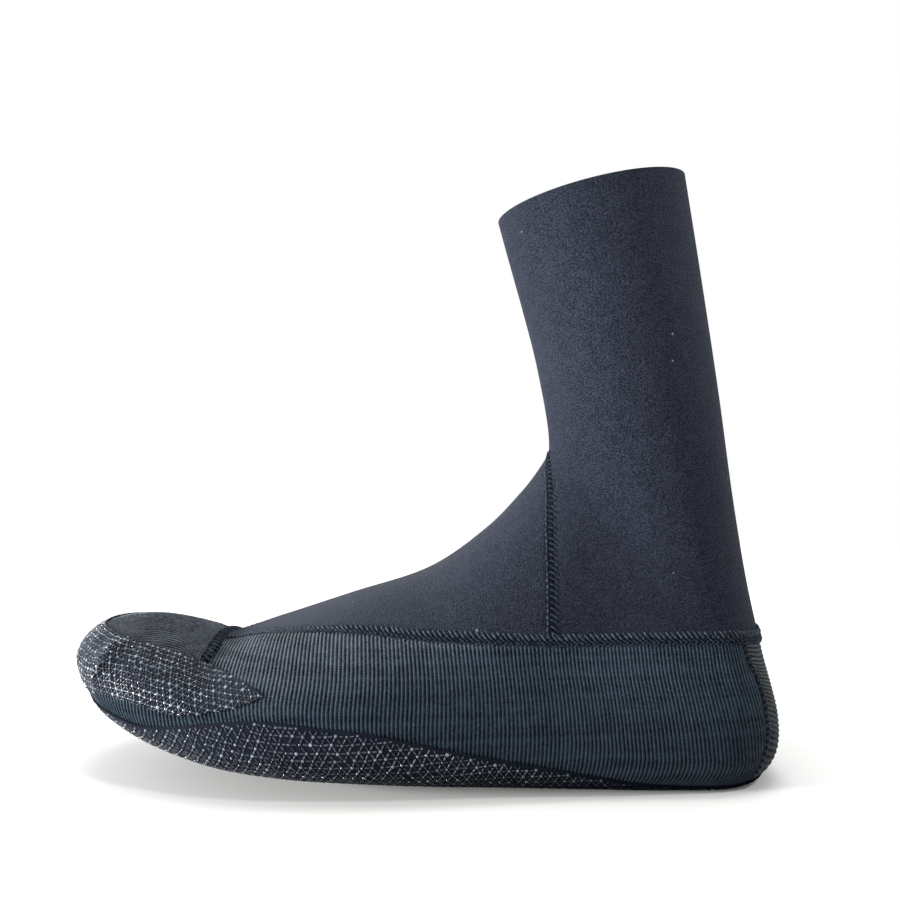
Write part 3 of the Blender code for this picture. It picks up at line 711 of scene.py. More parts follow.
def inside(border, places):
    """Which places (t, b) lie inside a closed border of places."""
    t, b = places[..., 0], places[..., 1]
    count = np.zeros(t.shape, int)
    for (t0, b0), (t1, b1) in zip(border, np.roll(border, -1, axis=0)):
        crosses = (b0 > b) != (b1 > b)
        if crosses.any():
            count += crosses & (t < t0 + (b - b0) * (t1 - t0) / (b1 - b0 if b1 != b0 else 1e-12))
    return count % 2 == 1


def lattice(length, width, pitch):
    """Dots of a triangular net that covers this length and width, and the pairs of dots that bars join."""
    rise = pitch * math.sqrt(3) / 2
    rows, columns = int(width / rise) + 3, int(length / pitch) + 3
    row, column = np.meshgrid(np.arange(-rows, rows + 1), np.arange(-columns, columns + 1), indexing="ij")
    dots = np.stack([(column + 0.5 * (row % 2)) * pitch, row * rise], axis=2)
    number = np.arange(dots[..., 0].size).reshape(dots.shape[:2])
    odd = row[:-1, :-1] % 2 == 1
    level = np.stack([number[:, :-1], number[:, 1:]], axis=2).reshape(-1, 2)
    upright = np.stack([number[:-1, :-1], number[1:, :-1]], axis=2).reshape(-1, 2)
    falling = np.stack([number[:-1, :-1], number[1:, 1:]], axis=2)
    rising = np.stack([number[:-1, 1:], number[1:, :-1]], axis=2)
    slant = np.where(odd[..., None], falling, rising)
    return dots.reshape(-1, 2), np.vstack([level, upright, slant.reshape(-1, 2)])


def printed_bars(last, chart_of, border, ends, chance):
    """Points and faces of a net's worn bars, each a block that is narrower at its top."""
    gaps = chance.uniform(*BAR_GAP, (len(ends), 2, 1))
    along = ends[:, 1] - ends[:, 0]
    ends = np.stack([ends[:, 0] + along * gaps[:, 0], ends[:, 1] - along * gaps[:, 1]], axis=1)
    share = np.linspace(0, 1, BAR_SAMPLES)[None, :, None]
    within = inside(border, chart_of(ends[:, :1] * (1 - share) + ends[:, 1:] * share))
    chosen = (within.sum(axis=1) > BAR_SAMPLES // 2) & (chance.uniform(size=len(ends)) > BARS_LOST)
    within, ends = within[chosen], ends[chosen]
    first = within.argmax(axis=1) / (BAR_SAMPLES - 1)
    final = 1 - within[:, ::-1].argmax(axis=1) / (BAR_SAMPLES - 1)
    shares = np.stack([first, final], axis=1)[..., None]
    points, normals = last.at(chart_of(ends[:, :1] * (1 - shares) + ends[:, 1:] * shares))
    along = unit(points[:, 1] - points[:, 0])[:, None]
    thickness = chance.uniform(0.75, 1.25, (len(points), 1, 1))
    side = unit(np.cross(normals, along)) * thickness * BAR_WIDTH / 2
    low, high = normals * (PRINT_BASE - NET_STEP), normals * (PRINT_HIGH - NET_STEP)
    foot = (points - side + low, points + side + low)
    crown = (points + side * 0.4 + high, points - side * 0.4 + high)
    shape = np.stack(foot + crown, axis=2)
    start = np.arange(len(shape))[:, None] * 8
    pattern = [(0, 3, 2, 1), (4, 5, 6, 7)] + [(k, (k + 1) % 4, 4 + (k + 1) % 4, 4 + k) for k in range(4)]
    faces = [face for one in pattern for face in (start + np.array(one)).tolist()]
    return shape.reshape(-1, 3), faces


def printed_dots(last, places, chance, start):
    """Points and faces of a net's dots, each a low cone. start counts the points before them."""
    centre, normals = last.at(places)
    helper = unit(np.cross(normals, [0.3, 0.9, 0.1]))
    other = np.cross(normals, helper)
    angle = (np.arange(DOT_SIDES) * 2 * np.pi / DOT_SIDES)[None, :, None]
    wheel = np.cos(angle) * helper[:, None] + np.sin(angle) * other[:, None]
    grown = chance.uniform(0.6, 1.15, (len(centre), 1, 1))
    levels = ((1.0, PRINT_BASE - NET_STEP), (0.82, PRINT_HIGH - NET_STEP), (0.4, PRINT_HIGH))
    rings = []
    for radius, height in levels:
        rings.append(centre[:, None] + radius * DOT_RADIUS * grown * wheel + height * normals[:, None])
    shape = np.concatenate(rings, axis=1)
    start = start + np.arange(len(shape))[:, None] * shape.shape[1]
    faces = []
    for level in range(len(levels) - 1):
        low, high = DOT_SIDES * level, DOT_SIDES * (level + 1)
        for k in range(DOT_SIDES):
            beside = (k + 1) % DOT_SIDES
            faces += (start + np.array([low + k, low + beside, high + beside, high + k])).tolist()
    faces += (start + np.arange(shape.shape[1] - DOT_SIDES, shape.shape[1])).tolist()
    faces += (start + np.arange(DOT_SIDES - 1, -1, -1)).tolist()
    return shape.reshape(-1, 3), faces


def net_mesh(last, chart_of, border, *size):
    """The raised net of a print: bars, and dots where they meet, as points, faces and their materials."""
    chance = np.random.default_rng(7)
    dots, bars = lattice(*size)
    dots = dots + chance.uniform(-DOT_JITTER, DOT_JITTER, dots.shape)
    bar_points, bar_faces = printed_bars(last, chart_of, border, dots[bars], chance)
    places = chart_of(dots)
    places = places[inside(border, places)]
    dot_points, dot_faces = printed_dots(last, places, chance, len(bar_points))
    groups = [0] * len(bar_faces) + [1] * len(dot_faces)
    return np.vstack([bar_points, dot_points]), bar_faces + dot_faces, groups


def grip_print(last, name, patches, chart_of, border, size, materials, slot, node, inset):
    """A printed rubber grip: a thin ground sheet with a net of raised triangles on it."""
    ground = panel(last, name, patches, PRINT_BASE, PRINT_LOW, materials[:1], inset=inset)
    points, faces, groups = net_mesh(last, chart_of, border, *size)
    net = made(name + "_net", points, faces, groups, materials[1:])
    for obj in (ground, net):
        shown(obj, slot, node)


def sole_print(last, edge, half, materials):
    """The print under the foot. Its net is laid along the sole's middle line."""
    bottom_t = np.linspace(0, 15, 1200)
    bottom, _ = last.at(np.stack([bottom_t, np.ones_like(bottom_t)], axis=1))
    length = run(bottom)

    def chart_of(flat):
        t = np.interp(flat[..., 0] + length[-1] / 2, length, bottom_t)
        return np.stack([t, 1 - flat[..., 1] / last.half_girth(t)], axis=-1)

    edge = edge + np.stack([0 * edge[:, 0], NET_MARGIN / last.half_girth(edge[:, 0])], axis=1)
    border = np.vstack([edge, other_side(edge)])
    patches = plain(last, [half, mirrored(half)])
    size = (length[-1] / 2, 0.07, SOLE_NET_PITCH)
    named = ("sole_rubber", "sole_grip_print")
    grip_print(last, "sole_grip", patches, chart_of, border, size, materials, *named, -PRINT_OVERHANG)


def bowed(last, start, end):
    """Points on a line that bows outwards from the last between two points on it."""
    outward = last.at(last.locate(np.stack([start, end])))[1].mean(axis=0)
    bow = PRINT_BOW * np.linalg.norm(end - start) * np.sin(np.linspace(0, np.pi, BOW_POINTS))
    return straight(start, end, BOW_POINTS) + bow[:, None] * outward


def toe_print(last, materials):
    """The print round the toe. Its net is laid along the print's middle line."""
    columns, rows = TOE_PRINT_COLUMNS, TOE_PRINT_ROWS
    top, low = (even(edge, columns) + last.shift for edge in (TOE_PRINT_TOP, TOE_PRINT_BOTTOM))
    lines = []
    for start, end in zip(top, low):
        on_last, _ = last.at(last.locate(bowed(last, start, end)))
        lines.append(last.locate(spaced(on_last, rows)))
    half = np.stack(lines, axis=1)
    half[:, -1, 1] = np.where(half[:, -1, 1] > 0.5, 1.0, 0.0)
    points, _ = last.at(half)
    middle = run(points[rows // 2])
    height = np.linalg.norm(np.diff(points, axis=0), axis=2).sum(axis=0)
    column_of = np.arange(columns)

    def chart_of(flat):
        side = np.where(flat[..., 0] > 0, -1.0, 1.0)
        column = np.interp(np.abs(flat[..., 0]), middle[-1] - middle[::-1], column_of[::-1])
        row = (flat[..., 1] / np.interp(column, column_of, height.clip(1e-6)) + 0.5) * (rows - 1)
        margin = NET_MARGIN / np.interp(column, column_of, height.clip(1e-6)) * (rows - 1)
        beyond = (row < margin) | (row > rows - 1 - margin) | (np.abs(flat[..., 0]) > middle[-1])
        i = np.clip(column.astype(int), 0, columns - 2)
        j = np.clip(row.astype(int), 0, rows - 2)
        f, g = (column - i)[..., None], (np.clip(row, 0, rows - 1) - j)[..., None]
        upper = half[j, i] * (1 - f) + half[j, i + 1] * f
        lower = half[j + 1, i] * (1 - f) + half[j + 1, i + 1] * f
        found = upper * (1 - g) + lower * g
        found = np.stack([found[..., 0], found[..., 1] * side], axis=-1)
        return np.where(beyond[..., None], OUTSIDE, found)

    border = np.array([(-1.0, -5.0), (50.0, -5.0), (50.0, 5.0), (-1.0, 5.0)])  # round every place but OUTSIDE
    patches = plain(last, [half, mirrored(half)])
    size = (middle[-1], 0.03, TOE_NET_PITCH)
    named = ("toe_rubber", "toe_grip_print")
    grip_print(last, "toe_grip", patches, chart_of, border, size, materials, *named, PRINT_INSET)


class Path:
    """A seam line on the last, to lay threads along."""

    def __init__(self, last, places):
        self.points, self.normals = last.at(resampled(places, 6 * len(places)))
        self.length = run(self.points)
        self.across = unit(np.cross(self.normals, np.gradient(self.points, axis=0)))

    def lay(self, shape):
        """Points and normals for shape (along, across, up), in metres."""
        def read(values):
            return np.stack([np.interp(shape[..., 0], self.length, values[:, k]) for k in range(3)], axis=-1)

        normals = unit(read(self.normals))
        beside = read(self.points) + unit(read(self.across)) * shape[..., 1:2]
        return beside + normals * shape[..., 2:3], normals


def tubes(paths, ups, radius, sides=6):
    """Round threads along paths (threads, points, 3), as points and faces."""
    along = unit(np.gradient(paths, axis=1))
    side = unit(np.cross(along, ups))
    up = np.cross(side, along)
    angle = np.arange(sides) * 2 * np.pi / sides
    wheel = np.cos(angle)[:, None] * side[:, :, None] + np.sin(angle)[:, None] * up[:, :, None]
    rings = paths[:, :, None] + radius * wheel
    threads, count = paths.shape[:2]
    index = np.arange(threads * count * sides).reshape(threads, count, sides)
    turned = np.roll(index, -1, axis=2)
    quads = np.stack([index[:, :-1], index[:, 1:], turned[:, 1:], turned[:, :-1]], axis=3)
    ends = index[:, 0].tolist() + index[:, -1, ::-1].tolist()
    return rings.reshape(-1, 3), quads.reshape(-1, 4).tolist() + ends


# A stitch's threads: their points as (share of the pitch along, mm across, mm up), the thread's radius
# in mm, and its shade, 0 for black thread and 1 for pale thread whose colour holds dust and painted
# highlights.
FLAT_STITCH = [
    ([(0.0, 2.35, -0.5), (0.05, 2.2, 0.05), (0.3, 1.5, 0.34), (0.6, 0.8, 0.32), (0.85, 0.2, 0.05),
      (0.9, 0.0, -0.5)], 0.33, 1),
    ([(0.45, 2.5, -0.5), (0.5, 2.3, 0.0), (0.75, 1.6, 0.16), (1.05, 0.7, 0.12),
      (1.2, 0.1, -0.5)], 0.26, 0),
    ([(0.0, -0.1, -0.4), (0.1, -0.3, 0.1), (0.5, -0.8, 0.3), (0.95, -1.25, 0.15),
      (1.05, -1.35, -0.4)], 0.31, 0),
    ([(0.0, -2.4, -0.4), (0.1, -2.2, 0.1), (0.5, -1.7, 0.3), (0.95, -1.3, 0.15),
      (1.05, -1.2, -0.4)], 0.31, 0),
]
ANKLE_STITCH = [
    ([(0.85, -0.5, -0.5), (0.8, -0.2, 0.12), (0.55, 0.8, 0.36), (0.28, 1.8, 0.34),
      (0.05, 2.5, 0.12), (-0.1, 2.4, -0.5)], 0.36, 0),
    ([(0.0, -1.7, -0.4), (0.12, -1.7, 0.2), (0.36, -1.7, 0.36), (0.6, -1.7, 0.15),
      (0.7, -1.7, -0.4)], 0.25, 1),
]
OVERLOCK_STITCH = [
    ([(0.0, -2.1, -0.9), (0.1, -1.9, 0.05), (0.35, -0.9, 0.75), (0.75, 0.7, 0.8),
      (1.05, 1.8, 0.15), (1.15, 2.0, -0.9)], 0.55, 0),
    ([(0.5, 2.1, -0.8), (0.6, 1.7, 0.0), (0.95, 0.2, 0.42), (1.3, -1.5, 0.1),
      (1.4, -2.0, -0.8)], 0.42, 0),
]
ZIGZAG_STITCH = [
    ([(0.0, -1.2, -0.7), (0.05, -1.1, 0.0), (0.28, 0.0, 0.28), (0.5, 1.1, 0.05),
      (0.55, 1.2, -0.7)], 0.27, 0),
    ([(0.5, 1.2, -0.7), (0.55, 1.1, 0.0), (0.78, 0.0, 0.24), (1.0, -1.1, 0.0),
      (1.05, -1.2, -0.7)], 0.27, 0),
]
INNER_STITCH = [
    ([(0.0, -1.6, -0.6), (0.05, -1.5, 0.15), (0.28, 0.0, 0.35), (0.5, 1.5, 0.15),
      (0.55, 1.6, -0.6)], 0.25, 0),
    ([(0.5, 1.6, -0.6), (0.55, 1.5, 0.15), (0.78, 0.0, 0.3), (1.0, -1.5, 0.15),
      (1.05, -1.6, -0.6)], 0.25, 0),
]
# Across a stitch's bed of dense thread: the share of its width, and how high it is.
BED_SHARES = np.array([0.0, 0.08, 0.3, 0.7, 0.92, 1.0])
BED_HEIGHTS = np.array([-0.0013, -0.0004, 0.0, 0.0, -0.0004, -0.0013])


def stitched(last, name, places, style, materials, named, spread=np.ones_like, inner=False, ends=0.0012):
    """A stitched seam: a bed of dense thread with the stitches' threads standing on it."""
    stitch, pitch, lift, flip, reach, unevenness = style
    path = Path(last, places)
    chance = np.random.default_rng(len(name))
    number = int((path.length[-1] - 2 * ends) / pitch)
    starts = ends + np.arange(number) * (path.length[-1] - 2 * ends) / number
    starts = starts + chance.uniform(-1, 1, number) * unevenness * pitch
    turn = -1 if inner else 1
    base = -WALL if inner else 0.0
    along = np.linspace(0.3 * ends, path.length[-1] - 0.3 * ends, 4 * number)
    across = flip * (reach[0] + (reach[1] - reach[0]) * BED_SHARES)
    up = base + turn * (lift(along)[:, None] + BED_HEIGHTS)
    bed = (along[:, None], across * spread(along)[:, None], up)
    bed = np.stack(np.broadcast_arrays(*bed), axis=2)
    points = [path.lay(bed)[0].reshape(-1, 3)]
    rows, columns = bed.shape[:2]
    index = np.arange(rows * columns).reshape(rows, columns)
    shifted = np.roll(index, -1, axis=1)
    faces = np.stack([index[:-1], index[1:], shifted[1:], shifted[:-1]], axis=2).reshape(-1, 4).tolist()
    faces += [index[0, ::-1].tolist(), index[-1].tolist()]
    total = rows * columns
    groups = [2] * len(faces)
    for shape, radius, shade in stitch:
        shape = through(np.array(shape), np.linspace(0, len(shape) - 1, 9))
        threads = np.zeros((number, len(shape), 3))
        threads[..., 0] = starts[:, None] + shape[:, 0] * pitch
        wander = 1 + chance.uniform(-1, 1, number)[:, None] * unevenness
        threads[..., 1] = flip * shape[:, 1] * 0.001 * wander * spread(threads[..., 0])
        swell = 1 + 3 * chance.uniform(-1, 1, number)[:, None] * unevenness
        threads[..., 2] = base + turn * (lift(threads[..., 0]) + shape[:, 2] * 0.001 * swell)
        thread_points, thread_faces = tubes(*path.lay(threads), radius * 0.001)
        points.append(thread_points)
        faces += [[corner + total for corner in face] for face in thread_faces]
        groups += [shade] * len(thread_faces)
        total += len(thread_points)
    obj = made(name, np.vstack(points), faces, groups, materials)
    work = bmesh.new()
    work.from_mesh(obj.data)
    bmesh.ops.recalc_face_normals(work, faces=work.faces)
    work.to_mesh(obj.data)
    work.free()
    return shown(obj, *named)


def seams_and_stitches(last, seams, threads, loopers):
    lines = seams.stitched()
    collar_length = run(last.at(lines["collar_seam"])[0])[-1]

    def level(height):
        return lambda s: np.full(np.shape(s), height)

    def collar_lift(s):
        """The collar seam stands prouder round the heel."""
        return -0.00045 + 0.0011 * np.exp(-(((s - collar_length / 2) / 0.035) ** 2))

    def collar_spread(s):
        """The collar seam is narrow over the front of the foot."""
        away = np.minimum(s, collar_length - s)
        return 0.40 + 0.60 * np.clip((away - 0.028) / 0.045, 0, 1)

    styles = {  # stitch, pitch, height, direction, how far its bed reaches each way and unevenness
        "toe_seam": (OVERLOCK_STITCH, 0.0023, level(-0.0001), 1, (-0.0020, 0.0020), 0.16),
        "collar_seam": (FLAT_STITCH, 0.0019, collar_lift, 1, (-0.0024, 0.0024), 0.08),
        "ankle_seam": (ANKLE_STITCH, 0.0021, level(-0.0005), -1, (-0.0019, 0.0014), 0.08),
        "outer_heel_seam": (ZIGZAG_STITCH, 0.0024, level(-0.00045), 1, (-0.0015, 0.0015), 0.08),
        "inner_heel_seam": (ZIGZAG_STITCH, 0.0024, level(-0.00045), 1, (-0.0015, 0.0015), 0.08),
    }
    looped = (INNER_STITCH, 0.0026, level(0.0003), 1, (-0.0019, 0.0019), 0.07)
    for name, style in styles.items():
        spread = collar_spread if name == "collar_seam" else np.ones_like
        stitched(last, name, lines[name], style, threads, ("seam_thread", name + "_cover"), spread)
        named = ("looper_thread", name + "_loops")
        stitched(last, name + "_inside", lines[name], looped, loopers, named, inner=True, ends=0.004)


class Paint:
    """A Principled material and short calls to add nodes to it."""

    def __init__(self, name, roughness, sheen=0.0, sheen_roughness=0.5, specular=0.5):
        self.material = bpy.data.materials.new(name)
        self.material.use_nodes = True
        self.tree = self.material.node_tree
        self.shader = self.tree.nodes["Principled BSDF"]
        for socket, value in (
            ("Roughness", roughness),
            ("Sheen Weight", sheen),
            ("Sheen Roughness", sheen_roughness),
            ("Specular IOR Level", specular),
        ):
            self.shader.inputs[socket].default_value = value
        self.shader.inputs["Sheen Tint"].default_value = (0.86, 0.93, 1.0, 1.0)
        self.place = self.add("ShaderNodeTexCoord")

    def add(self, kind, inputs=(), **settings):
        made_node = self.tree.nodes.new(kind)
        for key, value in settings.items():
            setattr(made_node, key, value)
        for key, value in dict(inputs).items():
            if isinstance(value, bpy.types.NodeSocket):
                self.tree.links.new(value, made_node.inputs[key])
            else:
                made_node.inputs[key].default_value = value
        return made_node

    def math(self, operation, first, second=0.0, third=0.0):
        return self.add("ShaderNodeMath", {0: first, 1: second, 2: third}, operation=operation).outputs[0]

    def cloth(self):
        """The fabric's own coordinates: metres across and along."""
        split = self.add("ShaderNodeSeparateXYZ", {0: self.place.outputs["UV"]})
        return split.outputs[0], split.outputs[1]

    def wave(self, distance, period):
        """0 to 1 and back over each period."""
        turned = self.math("SINE", self.math("MULTIPLY", distance, 2 * math.pi / period))
        return self.math("MULTIPLY_ADD", turned, 0.5, 0.5)

    def noise(self, scale, detail=2.0, stretch=(1, 1, 1)):
        mapping = self.add("ShaderNodeMapping", {0: self.place.outputs["Object"], "Scale": stretch})
        given = {"Vector": mapping.outputs[0], "Scale": scale, "Detail": detail}
        return self.add("ShaderNodeTexNoise", given).outputs[0]

    def scaled(self, value, low, high, from_low=0.0, from_high=1.0):
        given = {0: value, 1: from_low, 2: from_high, 3: low, 4: high}
        return self.add("ShaderNodeMapRange", given).outputs[0]

    def specks(self, scale, share):
        """1 on a few small lint specks, and 0 elsewhere."""
        cells = self.add("ShaderNodeTexVoronoi", {"Vector": self.place.outputs["Object"], "Scale": scale})
        drawn = self.add("ShaderNodeSeparateXYZ", {0: cells.outputs["Color"]}).outputs[0]
        chosen = self.math("GREATER_THAN", drawn, 1 - share)
        near = self.math("LESS_THAN", cells.outputs["Distance"], 0.16)
        return self.math("MULTIPLY", chosen, near)

    def colour(self, dark, light, share):
        """The base colour, blended from dark to light."""
        return self.mix(share, (*dark, 1.0), (*light, 1.0))

    def mix(self, share, first, second):
        given = {"Factor": share, "A": first, "B": second}
        return self.add("ShaderNodeMix", given, data_type="RGBA").outputs["Result"]

    def dust_and_sheen(self, colour, share):
        """The colour with fine pale dust and painted sheen, light from above painted on, where the fabric
        faces up.
        """
        normal = self.add("ShaderNodeNewGeometry").outputs["Normal"]
        up = self.add("ShaderNodeSeparateXYZ", {0: normal}).outputs[2]
        return self.mix(self.scaled(up, 0.0, share, 0.25, 0.95), colour, DUST_AND_SHEEN)

    def painted_low_shade(self, colour, share, top):
        """The colour, darker and duller from the floor up to this height: painted shade where the floor's
        shade falls.
        """
        height = self.add("ShaderNodeSeparateXYZ", {0: self.place.outputs["Object"]}).outputs[2]
        gloss = self.shader.inputs["Specular IOR Level"]
        shine = gloss.default_value
        self.tree.links.new(self.scaled(height, (1 - share) * shine, shine, 0.004, top), gloss)
        return self.mix(self.scaled(height, share, 0.0, 0.004, top), colour, PAINTED_LOW_SHADE)

    def finish(self, colour, height=None, depth=0.0002, strength=1.0):
        self.tree.links.new(colour, self.shader.inputs["Base Color"])
        if height is not None:
            bump = self.add("ShaderNodeBump", {"Height": height, "Distance": depth, "Strength": strength})
            self.tree.links.new(bump.outputs[0], self.shader.inputs["Normal"])
        return self.material


# Pale dust and painted sheen, blended in where the fabric faces up as if lit from above.
DUST_AND_SHEEN = (0.115, 0.130, 0.150, 1.0)
# Painted shade: the dark that the lower parts are blended towards near the floor.
PAINTED_LOW_SHADE = (0.002, 0.003, 0.005, 1.0)
LINT = (0.20, 0.21, 0.23, 1.0)


def jersey(name, base, light, low_shade_share):
    """Knitted jersey over foam: a fine grainy knit, a soft bloom and some lint. It is darker low down with
    painted shade, and paler with dust and painted sheen where it faces up.
    """
    paint = Paint(name, 0.90, sheen=0.06, sheen_roughness=0.4, specular=0.10)
    across, along = paint.cloth()
    rows = paint.wave(along, 0.00095)
    wales = paint.wave(across, 0.00080)
    grain = paint.scaled(paint.noise(2100.0, 2.0), -0.80, 0.86, 0.32, 0.68)
    mottle = paint.scaled(paint.noise(190.0, 5.0), -0.14, 0.15, 0.25, 0.75)
    broad = paint.scaled(paint.noise(22.0, 2.0), -0.10, 0.12, 0.3, 0.7)
    knit = paint.math("MULTIPLY", rows, paint.math("MULTIPLY_ADD", wales, 0.5, 0.5))
    share = paint.math("MULTIPLY_ADD", knit, 0.24, 0.32)
    for part in (grain, mottle, broad):
        share = paint.math("ADD", share, part)
    colour = paint.mix(paint.specks(420.0, 0.006), paint.colour(base, light, share), LINT)
    height = paint.math("ADD", paint.math("MULTIPLY", knit, 0.6), paint.math("MULTIPLY", grain, 0.9))
    return paint.finish(paint.painted_low_shade(paint.dust_and_sheen(colour, 0.10), low_shade_share, 0.15), height, 0.00014, 0.8)


def ribbed(name, groove, crest_colour):
    """Ribbed fabric over foam: the grooves are darker with painted shade between the ribs, and faint courses
    cross the ribs. It is darker low down with painted shade, and its crests are paler with dust and painted
    sheen where they face up.
    """
    paint = Paint(name, 0.85, sheen=0.06, sheen_roughness=0.4, specular=0.10)
    across, along = paint.cloth()
    turned = paint.math("COSINE", paint.math("MULTIPLY", across, 2 * math.pi / RIB))
    crest = paint.scaled(turned, 0.0, 1.0, -0.75, 0.85)
    courses = paint.scaled(paint.wave(along, 0.00088), -0.12, 0.12)
    lines = paint.scaled(paint.noise(60.0, 2.0, (0.15, 0.15, 9.0)), -0.13, 0.13, 0.35, 0.65)
    grain = paint.scaled(paint.noise(1500.0, 2.0), -0.30, 0.34, 0.30, 0.70)
    mottle = paint.scaled(paint.noise(240.0, 3.0), -0.13, 0.15, 0.25, 0.75)
    broad = paint.scaled(paint.noise(26.0, 2.0), -0.08, 0.08, 0.3, 0.7)
    share = paint.math("MULTIPLY_ADD", crest, 0.72, 0.05)
    for part in (courses, lines, grain, mottle, broad):
        share = paint.math("ADD", share, part)
    crests = paint.dust_and_sheen((*crest_colour, 1.0), 0.80)
    colour = paint.mix(paint.specks(380.0, 0.003), paint.mix(share, (*groove, 1.0), crests), LINT)
    height = paint.math("ADD", crest, paint.math("MULTIPLY", grain, 0.5))
    return paint.finish(paint.painted_low_shade(colour, 0.50, 0.052), height, 0.00022, 0.7)


def cut_foam():
    """The raw edge of the foam, with its small cells."""
    paint = Paint("cut_foam", 0.92, specular=0.2)
    cells = paint.noise(1400.0, 3.0)
    return paint.finish(paint.colour((0.006, 0.006, 0.007), (0.026, 0.026, 0.028), cells), cells, 0.0003)


def lining():
    """The smoother knit inside."""
    paint = Paint("lining_jersey", 0.88, sheen=0.1, specular=0.2)
    across, along = paint.cloth()
    knit = paint.math("MULTIPLY", paint.wave(along, 0.0011), paint.wave(across, 0.0009))
    mottle = paint.math("MULTIPLY", paint.noise(300.0, 3.0), 0.5)
    share = paint.math("ADD", paint.math("MULTIPLY", knit, 0.4), mottle)
    return paint.finish(paint.colour((0.012, 0.013, 0.016), (0.034, 0.036, 0.043), share), knit, 0.0002, 0.6)


def thread_paint(name, dark, light, roughness):
    """Twisted thread."""
    paint = Paint(name, roughness, specular=0.12)
    strands = paint.noise(1300.0, 2.0)
    share = paint.scaled(strands, 0.0, 1.0, 0.35, 0.70)
    return paint.finish(paint.colour(dark, light, share), strands, 0.0001, 0.7)


def print_ground(name):
    """The fabric between the printed bars, dark and matte, with painted shade near the floor and pale dust
    and painted sheen where it faces up.
    """
    paint = Paint(name, 0.80, specular=0.06)
    weave = paint.noise(1100.0, 3.0)
    broad = paint.noise(120.0, 2.0)
    share = paint.math("ADD", paint.math("MULTIPLY", weave, 0.6), paint.math("MULTIPLY", broad, 0.4))
    colour = paint.colour((0.002, 0.003, 0.007), (0.009, 0.012, 0.020), share)
    return paint.finish(paint.painted_low_shade(paint.dust_and_sheen(colour, 0.10), 0.97, 0.019), weave, 0.00012)


def rubber(name, roughness, dark, light):
    """The raised rubber of a print: satin, worn and with pale dust in places, and darkened near the floor
    with painted shade.
    """
    paint = Paint(name, roughness, specular=0.6)
    dust = paint.scaled(paint.noise(420.0, 2.0), 0.0, 0.9, 0.42, 0.64)
    grain = paint.noise(2200.0, 2.0)
    share = paint.math("ADD", dust, paint.math("MULTIPLY", grain, 0.15))
    return paint.finish(paint.painted_low_shade(paint.colour(dark, light, share), 0.97, 0.019), grain, 0.00006, 0.5)


def tape_paint():
    paint = Paint("tape_rubber", 0.5, specular=0.4)
    grain = paint.noise(700.0, 3.0)
    return paint.finish(paint.colour((0.010, 0.010, 0.012), (0.026, 0.027, 0.030), grain), grain, 0.0001)


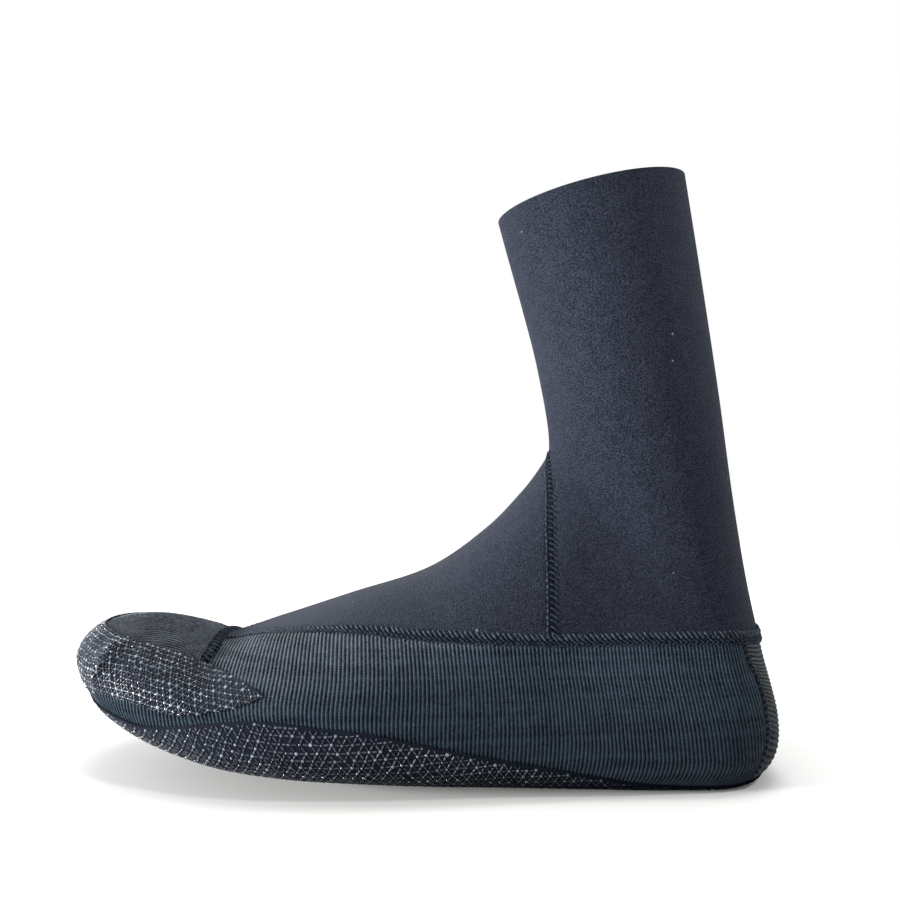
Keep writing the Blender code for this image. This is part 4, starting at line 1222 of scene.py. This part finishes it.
def studio():
    """A round white floor, soft light, a white surround and the camera."""
    rings, turns = 24, 64
    radius = np.linspace(0.02, FLOOR_RADIUS, rings)
    angle = np.arange(turns) * 2 * np.pi / turns
    across, deep = np.outer(radius, np.cos(angle)), np.outer(radius, np.sin(angle))
    points = np.stack([across, deep, np.zeros((rings, turns))], axis=2)
    index = np.arange(rings * turns).reshape(rings, turns)
    turned = np.roll(index, -1, axis=1)
    faces = np.stack([index[:-1], index[1:], turned[1:], turned[:-1]], axis=2).reshape(-1, 4).tolist()
    faces.append(index[0].tolist())
    paint = Paint("studio_white", 0.9, specular=0.0)
    white = paint.finish(paint.colour((0.87, 0.86, 0.84), (0.90, 0.90, 0.88), paint.noise(3.0)))
    place = paint.place.outputs["Object"]
    away = paint.add("ShaderNodeVectorMath", {0: place}, operation="LENGTH").outputs["Value"]
    glow = paint.scaled(away, *FLOOR_GLOW, *FLOOR_GLOW_REACH)
    paint.tree.links.new(glow, paint.shader.inputs["Emission Strength"])
    paint.shader.inputs["Emission Color"].default_value = (1.0, 0.995, 0.98, 1.0)
    floor = made("studio_floor", points.reshape(-1, 3), faces, [0] * len(faces), [white])
    world = bpy.data.worlds.new("soft_white")
    world.use_nodes = True
    nodes, links = world.node_tree.nodes, world.node_tree.links
    light, surround = nodes["Background"], nodes.new("ShaderNodeBackground")
    light.inputs["Color"].default_value = (0.96, 0.98, 1.0, 1.0)
    light.inputs["Strength"].default_value = WORLD_LIGHT
    mix, seen = nodes.new("ShaderNodeMixShader"), nodes.new("ShaderNodeLightPath")
    surround.inputs["Color"].default_value = (1.0, 1.0, 1.0, 1.0)
    links.new(seen.outputs["Is Camera Ray"], mix.inputs[0])
    links.new(light.outputs[0], mix.inputs[1])
    links.new(surround.outputs[0], mix.inputs[2])
    links.new(mix.outputs[0], nodes["World Output"].inputs[0])
    bpy.context.scene.world = world
    for name, place, target, size, power in LAMPS:
        lamp = bpy.data.lights.new(name, "AREA")
        lamp.shape = "DISK"
        lamp.size = size
        lamp.energy = power
        made_lamp = bpy.data.objects.new(name, lamp)
        made_lamp.location = place
        made_lamp.rotation_euler = (Vector(target) - Vector(place)).to_track_quat("-Z", "Y").to_euler()
        bpy.context.scene.collection.objects.link(made_lamp)
    camera = bpy.data.cameras.new("camera")
    camera.sensor_width = 36.0
    camera.lens = 36.0
    camera.clip_start = 0.01
    eye = bpy.data.objects.new("camera", camera)
    eye.location = CAMERA_PLACE
    eye.rotation_euler = (math.pi / 2, 0.0, 0.0)
    bpy.context.scene.collection.objects.link(eye)
    bpy.context.scene.camera = eye
    bpy.context.scene.view_settings.view_transform = "Standard"


def build():
    last = Last()
    seams = Seams(last, SIDE_RIBS * SAMPLES_PER_RIB, FRONT_RIBS * SAMPLES_PER_RIB, 8)
    foam, inner = cut_foam(), lining()
    dark, pale = (0.006, 0.008, 0.014), (0.029, 0.034, 0.053)
    # The last number is how strongly painted shade darkens the knit low down.
    shaft(last, seams, [jersey("shaft_knit", dark, pale, 0.45), foam, inner])
    instep(last, seams, [jersey("instep_knit", dark, pale, 0.15), foam, inner])
    # groove is painted shade deep between the ribs; crest is the ribs' own colour.
    groove, crest = (0.0015, 0.003, 0.006), (0.035, 0.055, 0.077)
    # The toe's crest colour is paler than the rand's of the same fabric: a lit copy, painted light from
    # above.
    toe(last, seams, [ribbed("toe_rib_knit", groove, (0.075, 0.090, 0.105)), foam, inner])
    rand(last, seams, [ribbed("rand_rib_knit", groove, crest), foam, inner])
    heel(last, seams, [ribbed("heel_rib_knit", groove, (0.075, 0.084, 0.086)), foam, inner])
    edge, half = sole(last, seams, [ribbed("sole_rib_knit", groove, crest), foam, inner])
    bars = ("net_bar_rubber", 0.50, (0.006, 0.009, 0.015), (0.046, 0.058, 0.080))
    dots = ("net_dot_rubber", 0.18, (0.030, 0.038, 0.053), (0.21, 0.24, 0.28))

    def print_looks(prefix):
        nets = [rubber(prefix + name, *values) for name, *values in (bars, dots)]
        return [print_ground(prefix + "ground")] + nets

    sole_print(last, edge, half, print_looks("sole_"))
    toe_print(last, print_looks("toe_"))
    black = thread_paint("black_thread", (0.002, 0.004, 0.010), (0.026, 0.038, 0.058), 0.50)
    # Pale thread: dust and painted highlights in its colour.
    dust_and_sheen = thread_paint("dust_and_sheen_thread", (0.008, 0.012, 0.020), (0.080, 0.096, 0.122), 0.55)
    dense = thread_paint("dense_thread", (0.002, 0.002, 0.003), (0.008, 0.009, 0.012), 0.8)
    looper = thread_paint("looper_thread", (0.006, 0.007, 0.009), (0.026, 0.029, 0.034), 0.65)
    seams_and_stitches(last, seams, [black, dust_and_sheen, dense], [looper, looper, dense])
    tape_look = tape_paint()
    for node in ("toe_cap_tape", "sole_tape"):
        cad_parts[node].material_slots[0].material = tape_look
    studio()


build()
